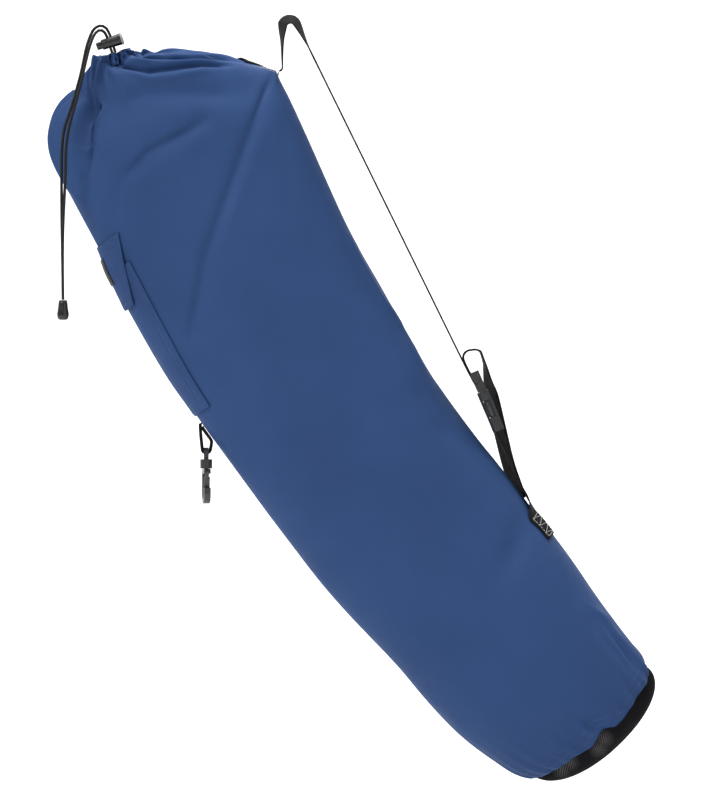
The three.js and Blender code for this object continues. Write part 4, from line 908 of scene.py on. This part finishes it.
def upper_strap():
    """From the shoulder over the peg, through the buckle's bars, and back down as the free tail."""
    alongs = np.linspace(side_along(SHOULDER_HEIGHT + UPPER_PATCH / math.sqrt(2)), 1, SEWN_ROWS)
    before, corner = (solid_place(0.0, along, WEB_OUT + WEB_LIFT) for along in alongs[-2:])
    onward = (corner - before) / np.linalg.norm(corner - before) * 2 * STRAP_BEND
    bend = corner + onward
    through = buckle_corners([
        (-TURN_RADIUS - WEB_GAP - WEB_WALL, 0, PLUG_LENGTH, 3 * TURN_RADIUS),
        (-TURN_RADIUS - WEB_GAP / 4, 0, INNER_BAR - TURN_RADIUS, TURN_RADIUS),
        (TURN_RADIUS, 0, INNER_BAR - TURN_RADIUS, TURN_RADIUS),
        (TURN_RADIUS, 0, INNER_BAR + CROSS_RISE, TURN_RADIUS),
        (-TURN_RADIUS, 0, OUTER_BAR - CROSS_RISE, TURN_RADIUS),
        (-TURN_RADIUS - 0.1 * ARCH_HEIGHT, 0, PLUG_LENGTH + ARCH_HEIGHT, 0.4 * ARCH_WIDTH),
        (0.76 * ARCH_WIDTH, 0.2 * TAIL_BEHIND, PLUG_LENGTH + 0.8 * ARCH_HEIGHT, 0.4 * ARCH_WIDTH),
        (0.66 * ARCH_WIDTH, 0.3 * TAIL_BEHIND, 0.85 * PLUG_LENGTH, ARCH_WIDTH),
        (0.46 * ARCH_WIDTH, 0.8 * TAIL_BEHIND, -0.02 * TAIL_LENGTH, ARCH_WIDTH),
        (0.08 * ARCH_WIDTH, TAIL_BEHIND, -0.38 * TAIL_LENGTH, 2 * ARCH_WIDTH),
        (-0.2 * ARCH_WIDTH, 0.95 * TAIL_BEHIND, -0.64 * TAIL_LENGTH, 2 * ARCH_WIDTH),
        (-0.35 * ARCH_WIDTH, 0.8 * TAIL_BEHIND, -TAIL_LENGTH),
    ])
    peak = over_peg(bend, np.array([through[0][0], 0, through[0][2]]))
    route = rounded_route([corner + 0.25 * onward, (*bend, STRAP_BEND), peak, *through])
    to_peak = np.linalg.norm(bend) / route[1][-1]
    to_arch = 1 - (TAIL_LENGTH + PLUG_LENGTH + ARCH_HEIGHT) / route[1][-1]
    twists = [
        (0, 0), (0.35 * to_peak, 0), (to_peak, PEAK_TWIST), (1.9 * to_peak, 0), (to_arch, 0),
        (to_arch + 0.35 * (1 - to_arch), TAIL_TWIST), (1, TAIL_TWIST),
    ]
    return sewn(alongs, UPPER_TURN, UPPER_AWAY) + free_rows(route, twists)


def lower_strap():
    """Folded back round the socket's bar, and down to the lower patch."""
    fall = np.linalg.norm(ANCHOR - BUCKLE_PLACE)
    aside = (TURN_RADIUS + WEB_WALL) / 2 - WEB_GAP
    corners = buckle_corners([
        (aside, 0, LOWER_BAR - FOLD_BACK),
        (TURN_RADIUS, 0, LOWER_BAR + TURN_RADIUS, TURN_RADIUS),
        (-TURN_RADIUS, 0, LOWER_BAR + TURN_RADIUS, TURN_RADIUS),
        (-aside, 0, LOWER_BAR - FOLD_BACK, FOLD_BACK),
        (-aside, 0, LOWER_BAR - 0.7 * (fall + LOWER_BAR), FOLD_BACK),
    ])
    last = ANCHOR + 0.06 * (np.array(corners[-1][:3]) - ANCHOR)
    half = LOWER_PATCH / 2
    alongs = np.linspace(side_along(LOWER_ANCHOR + half), side_along(LOWER_ANCHOR - half), SEWN_ROWS)
    return free_rows(rounded_route([*corners, last]))[:-1] + sewn(alongs, LOWER_TURN, LOWER_AWAY)


WEB_EDGE = 12


def make_webbing(name, rows, width, wall, node, step=2.2):
    rows = np.array(rows, float)
    fine = eased_chain(rows, step)
    centre, across, out = fine[:, :3], fine[:, 3:6], fine[:, 6:9]
    across /= np.linalg.norm(across, axis=1, keepdims=True)
    out -= across * np.einsum("ij,ij->i", out, across)[:, None]
    out /= np.linalg.norm(out, axis=1, keepdims=True)
    sag = fine[:, 9]
    share = np.linspace(-0.5, 0.5, WEB_EDGE)
    edge = np.abs(2 * share)
    half = 0.5 * wall * (1 - 0.45 * np.clip((edge - 0.82) / 0.18, 0, 1) ** 2)
    ring = [(s, h, 1) for s, h in zip(share, half)] + [(s, h, -1) for s, h in zip(share[::-1], half[::-1])]
    points, uv = [], []
    places = np.concatenate([[0], np.cumsum(np.linalg.norm(np.diff(centre, axis=0), axis=1))])
    for s, h, face in ring:
        lift = face * h - sag * (2 * s) ** 2
        points.append(centre + across * (s * width) + out * lift[:, None])
        uv.append(np.column_stack([np.full(len(centre), s * width * MM), places * MM]))
    points = np.stack(points, axis=1)
    uv = np.stack(uv, axis=1)
    count, around = points.shape[:2]
    faces = ring_faces(count, around)
    for row, order in ((0, 1), (count - 1, -1)):
        for k in range(WEB_EDGE - 1):
            a, b = row * around + k, row * around + k + 1
            c, d = row * around + around - 2 - k, row * around + around - 1 - k
            faces.append([a, b, c, d][::-order])
    flat = points.reshape(-1, 3)
    return piece(name, flat, outward(flat, faces), WEBBING, "webbing", uv=uv.reshape(-1, 2), replaces=[node])


# The hook's loop, thicker than its solid and with its ends in the cloth
LOOP_HEIGHT, LOOP_ANGLE, LOOP_WIDTH = 452.0, math.radians(178), 10.0
LOOP_DROP, LOOP_ASIDE, LOOP_BULGE = 22.0, 4.7, 5.2
LOOP_WALL, LOOP_SOLID, LOOP_SINK, EYE_THICK = 3.0, 1.6, 2.2, 4.4


def loop_spot(height):
    along = along_at(np.full(1, LOOP_ANGLE), height)[0]
    return solid_place(LOOP_ANGLE, along, LAY_GAP + LOOP_SOLID / 2)


def hook_loop():
    x, y, z = loop_spot(LOOP_HEIGHT) + (LOOP_ASIDE, 0, -LOOP_DROP)
    turn = EYE_THICK / 2 + WEB_GAP + LOOP_SOLID / 2
    rows = free_rows(rounded_route([
        loop_spot(LOOP_HEIGHT + LOOP_SOLID),
        (x - LOOP_BULGE, y, z + 0.4 * LOOP_DROP, LOOP_BULGE), (x - turn, y, z - turn, turn),
        (x + turn, y, z - turn, turn), (x + LOOP_BULGE, y, z + 0.34 * LOOP_DROP, LOOP_BULGE),
        loop_spot(LOOP_HEIGHT - LOOP_SOLID),
    ]))
    sunk = np.array([math.cos(BAG_TILT), 0, math.sin(BAG_TILT)]) * LOOP_SINK
    first, last = ((*(np.array(row[:3]) + sunk), *row[3:]) for row in (rows[0], rows[-1]))
    return [first, *rows, last]


STRAP_UPPER, STRAP_LOWER = upper_strap(), lower_strap()
make_webbing("webbing_upper", STRAP_UPPER, WEB_WIDTH, WEB_WALL, "strap_upper")
make_webbing("webbing_lower", STRAP_LOWER, WEB_WIDTH, WEB_WALL, "strap_lower", 1.4)
make_webbing("webbing_loop", hook_loop(), LOOP_WIDTH, LOOP_WALL, "hook_loop", 0.9)


# Cords, each of one length from the hem to the bell
CORDS = {
    "cord_a": [
        (-161.6, -21.4, -31.2), (-163.1, -21.4, -26.6), (-165, -21.4, -20.8), (-167, -21.4, -14.6),
        (-169.8, -22, -9), (-175, -23.6, -6.2), (-181, -25.6, -9), (-185, -27.6, -16.4),
        (-188, -30, -25.4), (-190.4, -32.6, -36.4), (-193, -35, -49.3), (-196.1, -37, -61.5),
        (-199.6, -38.4, -75), (-204, -38.8, -88.6), (-208.6, -37.8, -102.8), (-210.8, -35.6, -120),
        (-211.3, -32.6, -144.2), (-211.4, -29.8, -165), (-211.3, -27.4, -190), (-210.9, -25.6, -214),
        (-210.5, -24.9, -240), (-210.2, -24.6, -260.5),
    ],
    "cord_b": [
        (-164.5, -21.4, -31.7), (-166.1, -21.4, -27.5), (-168, -21.4, -21.8), (-170, -21.6, -15.6),
        (-172.7, -23.6, -11.4), (-177, -26.8, -10.8), (-180.9, -30, -14.8), (-183.8, -32.6, -21.6),
        (-186.6, -35, -31.4), (-189.2, -37.2, -42.6), (-191.8, -39.2, -54.2), (-194.8, -41, -66),
        (-198, -42.2, -79), (-201.8, -42.4, -92.4), (-205.2, -41.4, -106.8), (-207, -39.2, -122),
        (-207.6, -36, -144.2), (-208.6, -33, -165), (-209.8, -30.8, -190), (-210.4, -28.9, -214),
        (-210.4, -28.1, -240), (-210.2, -27.7, -260.5),
    ],
}
CORD_THICK = 2.8


def make_cord(name, points):
    chain = eased_chain(points, 4.0)
    data = bpy.data.curves.new(name, "CURVE")
    data.dimensions = "3D"
    spline = data.splines.new("POLY")
    spline.points.add(len(chain) - 1)
    for point, place in zip(spline.points, chain * MM):
        point.co = (*place, 1)
    data.bevel_depth = CORD_THICK / 2 * MM
    data.bevel_resolution = 3
    data.use_fill_caps = True
    data.materials.append(CORD)
    made = bpy.data.objects.new("braided_" + name, data)
    bpy.context.scene.collection.objects.link(made)
    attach(made, "bag")
    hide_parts(name)


def make_bell():
    """The bell that holds the cord's two ends, turned about an upright axis."""
    low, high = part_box("cord_end")
    middle = (np.array(low) + np.array(high)) / 2 / MM
    foot, top = low.z / MM, high.z / MM
    profile = [
        (0.0, 0.0), (2.4, 0.0), (3.6, 0.25), (4.5, 0.9), (5.2, 2.2), (5.6, 4.2), (5.55, 6.2), (5.1, 9.2),
        (4.6, 12.4), (4.3, 15.6), (4.3, 16.2), (3.95, 16.5), (3.95, 17.0), (4.1, 17.3), (3.9, 18.2),
        (3.3, 18.5), (0.0, 18.5),
    ]
    sides = 40
    ring = np.linspace(0, TAU, sides, endpoint=False)
    points = [(middle[0], middle[1], foot)]
    for radius, up in profile[1:-1]:
        around = zip(middle[0] + radius * np.cos(ring), middle[1] + radius * np.sin(ring))
        points += [(x, y, foot + up) for x, y in around]
    points.append((middle[0], middle[1], top))
    faces = [[0, 1 + (k + 1) % sides, 1 + k] for k in range(sides)]
    rings = len(profile) - 2
    faces += ring_faces(rings, sides, first=1)
    last = 1 + (rings - 1) * sides
    faces += [[last + k, last + (k + 1) % sides, len(points) - 1] for k in range(sides)]
    return piece("bell", points, faces, GLOSS, "gloss", replaces=["cord_end"])


bell = make_bell()
for cord_name, cord_points in CORDS.items():
    make_cord(cord_name, cord_points)


# Stitches

def stitches(name, lines, material, slot, length=2.2, gap=0.9, thick=0.42):
    """Short threads lying on lines. Each line is a chain of points and the outward way at each."""
    points, faces = [], []
    sides, rings = 6, ((-0.5, 0.25), (-0.38, 0.8), (0, 1), (0.38, 0.8), (0.5, 0.25))
    for chain, outs in lines:
        both, places = resampled(np.hstack([chain, outs]), length + gap)
        for a, b in zip(both[:-1], both[1:]):
            centre, out = (a[:3] + b[:3]) / 2, a[3:] + b[3:]
            run = b[:3] - a[:3]
            run /= max(np.linalg.norm(run), 1e-9)
            out = out - run * (out @ run)
            out /= max(np.linalg.norm(out), 1e-9)
            side = np.cross(run, out)
            first = len(points)
            for at, fat in rings:
                middle = centre + run * at * length + out * thick * (0.35 - 0.9 * (2 * at) ** 4 * 0.5)
                for k in range(sides):
                    turn = TAU * k / sides
                    points.append(middle + (side * math.cos(turn) + out * math.sin(turn)) * fat * thick / 2)
            for r in range(len(rings) - 1):
                for k in range(sides):
                    p, q = first + r * sides + k, first + r * sides + (k + 1) % sides
                    faces.append([p, p + sides, q + sides, q])
            faces.append([first + k for k in range(sides)])
            faces.append([first + (len(rings) - 1) * sides + k for k in reversed(range(sides))])
    return piece(name, points, faces, material, slot)


def laid_line(uvs, area, wall, rise, skew=0.0, count=60):
    """A line over a laid piece, with its outward ways, from corners in the piece's own shares."""
    path, _ = resampled(uvs, 1 / count)
    u, v = path[:, 0], path[:, 1]
    on = laid(u, v, *area, rise(u, v) + wall, skew)
    above = laid(u, v, *area, rise(u, v) + wall + 1, skew)
    return on, above - on


def body_line(angles, alongs, out=0.0):
    angles, alongs = np.array(angles), np.array(alongs)
    over = hem_shift(angles, alongs)
    on = bag_to_world(body_surface(angles, alongs, out, 1) + over)
    above = bag_to_world(body_surface(angles, alongs, out + 1, 1) + over)
    return on, above - on


RING_POINTS, HEM_STITCHES = 400, (0.008, 0.017)
POCKET_STITCHES = [
    [(0.035, 1), (0.035, 0.06), (0.06, 0.035), (0.965, 0.035), (0.965, 1)],
    [(0.075, 1), (0.075, 0.1), (0.1, 0.072), (0.925, 0.072), (0.925, 1)],
    [(0.02, 0.86), (0.98, 0.86)],
]
FLAP_STITCHES = [
    [(0.02, 0.965), (0.98, 0.965)],
    [(0.02, 0.88), (0.98, 0.88)],
    [(0.03, 0.96), (0.03, 0.06), (0.97, 0.06), (0.97, 0.96)],
]
stitches("stitches_body", [
    *[body_line(np.linspace(0, TAU, RING_POINTS), np.full(RING_POINTS, along)) for along in HEM_STITCHES],
    *[laid_line(line, POCKET_AREA, CLOTH_WALL, pocket_rise) for line in POCKET_STITCHES],
    *[laid_line(line, FLAP_AREA, CLOTH_WALL, flap_rise, FLAP_SKEW) for line in FLAP_STITCHES],
], CLOTH_THREAD, "cloth")


def box_lines(corner, size, turns):
    """A stitched box and the zigzag across it, as corners in two shares."""
    (x, y), (w, h) = corner, size
    box = [(x, y), (x + w, y), (x + w, y + h), (x, y + h), (x, y)]
    zigzag = [(x + w * (k % 2), y + h * k / turns) for k in range(turns + 1)]
    return [box, zigzag]


def web_patch(rows, first, last, turns):
    """Box stitches on the outer face of a stretch of webbing between two of its rows."""
    stretch = eased_chain(np.array(rows[first:last], float), 1.0)
    lines = []
    for corners in box_lines((-0.4, 0.08), (0.8, 0.84), turns):
        path, _ = resampled(corners, 0.02)
        spots = path[:, 1] * (len(stretch) - 1)
        at = np.stack([np.interp(spots, np.arange(len(stretch)), stretch[:, k]) for k in range(10)], axis=1)
        lift = WEB_WALL / 2 - at[:, 9] * (2 * path[:, 0]) ** 2
        on = at[:, :3] + at[:, 3:6] * (path[:, 0] * WEB_WIDTH)[:, None] + at[:, 6:9] * lift[:, None]
        lines.append((on, at[:, 6:9]))
    return lines


upper_alongs = np.linspace(1.02, 1.2, 30)
GATHER_STITCHES = [(-0.04, 0), (-0.09, 0.01), (-0.14, 0.02)]
stitches("stitches_strap", [
    *web_patch(STRAP_UPPER, 0, SEWN_ROWS, 7),
    *web_patch(STRAP_LOWER, len(STRAP_LOWER) - SEWN_ROWS, len(STRAP_LOWER), 5),
    *[body_line(np.full(len(upper_alongs), angle), upper_alongs + shift) for angle, shift in GATHER_STITCHES],
], LIGHT_THREAD, "webbing", length=2.4, gap=0.8, thick=0.6)


# Moulded pieces keep their solids, with soft edges
def dress(node, material, bevel):
    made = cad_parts[node]
    made.data.materials.clear()
    made.data.materials.append(material)
    edge = made.modifiers.new("edge", "BEVEL")
    edge.width = bevel * MM
    edge.segments = 3
    edge.limit_method = "ANGLE"
    edge.angle_limit = math.radians(35)


for moulded, finish, bevel in (
    ("buckle_plug", PLASTIC, 0.5), ("buckle_socket", PLASTIC, 0.7), ("hook_body", PLASTIC, 0.7),
    ("hook_gate", PLASTIC, 0.35), ("hook_swivel", PLASTIC, 0.6), ("lock_barrel", GLOSS, 0.5),
    ("lock_plunger", GLOSS, 0.3),
):
    dress(moulded, finish, bevel)


# The buckle's side windows
BUCKLE_HALF, WINDOW_FROM, WINDOW_LONG, ROUND_SIDES = 16.5, 9.0, 17.0, 36


def oval(x, z, power=1.0):
    a = np.linspace(0, TAU, ROUND_SIDES, endpoint=False)
    c, s = np.cos(a), np.sin(a)
    return np.stack([x * np.sign(c) * np.abs(c) ** power, z * np.sign(s) * np.abs(s) ** power], axis=1)


def ring_piece(name, rings, side, middle, material):
    """Rings of one count, each an outline and a height over the buckle's side, closed round."""
    points = buckle_to_world(np.vstack([
        np.column_stack([ring[:, 0], np.full(len(ring), side * out), ring[:, 1] + middle])
        for ring, out in rings
    ]))
    faces = ring_faces(len(rings), len(rings[0][0]), closed=True)
    return piece(name, points, outward(points, faces), material, "plastic")


def make_windows():
    """An oval rim over each side window, a dark bed of painted shade inside it and the prong's domed button.
    """
    middle = -WINDOW_FROM - WINDOW_LONG / 2
    rim, well, button = oval(3.6, 9.9, power=0.8), oval(3.0, 9.1, power=0.8), oval(2.0, 6.9, power=0.9)
    for side, word in ((-1, "front"), (1, "back")):
        ring_piece("rim_" + word, [
            (rim, BUCKLE_HALF - 0.3), (rim, BUCKLE_HALF + 0.25), (rim * 0.97, BUCKLE_HALF + 0.5),
            (well * 1.04, BUCKLE_HALF + 0.5), (well, BUCKLE_HALF + 0.3), (well, BUCKLE_HALF - 0.3),
        ], side, middle, PLASTIC)
        # Painted shade: a near-black sheet in the window's opening stands for the shadow inside the buckle
        ring_piece("painted_shade_bed_" + word, [
            (well * 1.02, BUCKLE_HALF - 0.2), (well * 1.02, BUCKLE_HALF + 0.1),
            (button * 0.5, BUCKLE_HALF + 0.1), (button * 0.5, BUCKLE_HALF - 0.2),
        ], side, middle, SHADE)
        shares = (1, 0.97, 0.88, 0.7, 0.45, 0.02)
        dome = [(button * f, BUCKLE_HALF + 0.12 + 0.9 * (1 - f**2) ** 0.5) for f in shares]
        dome.append((button * 0.02, BUCKLE_HALF + 0.05))
        ring_piece("button_" + word, dome, side, middle - 0.8, PLASTIC)


def make_lock_cap():
    """The pale disc that closes the lock's barrel at its far end."""
    turn = np.array([0.95106, 0, 0.30902])
    side = np.array([0, 1.0, 0])
    up = np.cross(turn, side)
    spots = np.array([v.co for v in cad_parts["lock_barrel"].data.vertices]) / MM
    reach = spots @ turn
    centre = spots[reach > reach.max() - 0.2].mean(axis=0)
    points = []
    profile = [(0.05, -1.7), (5.75, -1.7), (5.8, -0.4), (5.5, 0.2), (4.8, 0.45), (2.0, 0.6), (0.05, 0.6)]
    for radius, lift in profile:
        for a in np.linspace(0, TAU, ROUND_SIDES, endpoint=False):
            points.append(centre + turn * lift + (side * math.cos(a) + up * math.sin(a)) * radius)
    points, faces = np.array(points), ring_faces(len(profile), ROUND_SIDES, closed=True)
    piece("lock_cap", points, outward(points, faces), CAP, "gloss")


make_lock_cap()
make_windows()


# Stage and light

def make_stage():
    rows = []
    for k in range(13):
        turn = math.pi / 2 * k / 12
        rows.append((SWEEP_FROM + SWEEP_ROUND * math.sin(turn), FLOOR_Z + SWEEP_ROUND * (1 - math.cos(turn))))
    rows = [(-9, FLOOR_Z), *rows, (SWEEP_FROM + SWEEP_ROUND, 6)]
    points = [(x, y, z) for y, z in rows for x in (-7, 7)]
    faces = [[2 * k, 2 * k + 1, 2 * k + 3, 2 * k + 2] for k in range(len(rows) - 1)]
    mesh = bpy.data.meshes.new("floor")
    mesh.from_pydata(points, [], faces)
    mesh.polygons.foreach_set("use_smooth", [True] * len(faces))
    mesh.materials.append(stage_material())
    floor = bpy.data.objects.new("floor", mesh)
    bpy.context.scene.collection.objects.link(floor)


def make_light(name, place, aim, size, power):
    data = bpy.data.lights.new(name, "AREA")
    data.energy, data.size = power, size
    lamp = bpy.data.objects.new(name, data)
    bpy.context.scene.collection.objects.link(lamp)
    lamp.location = place
    lamp.rotation_euler = (Vector(aim) - Vector(place)).to_track_quat("-Z", "Y").to_euler()


make_stage()
make_light("key", (-2.2, -2.3, 1.8), (0, 0, -0.35), 1.2, 84)
make_light("fill", (2.6, -3.0, 0.2), (0, 0, -0.4), 2.0, 14)
make_light("top", (0.3, -0.3, 2.4), (0, 0, -0.3), 1.6, 26)
make_light("wall", (0, 0.2, 2.6), (0, 1.7, 0), 2.6, 110)
world = bpy.data.worlds.new("world")
world.use_nodes = True
world.node_tree.nodes["Background"].inputs[0].default_value = (1, 1, 1, 1)
world.node_tree.nodes["Background"].inputs[1].default_value = 0.45
bpy.context.scene.world = world
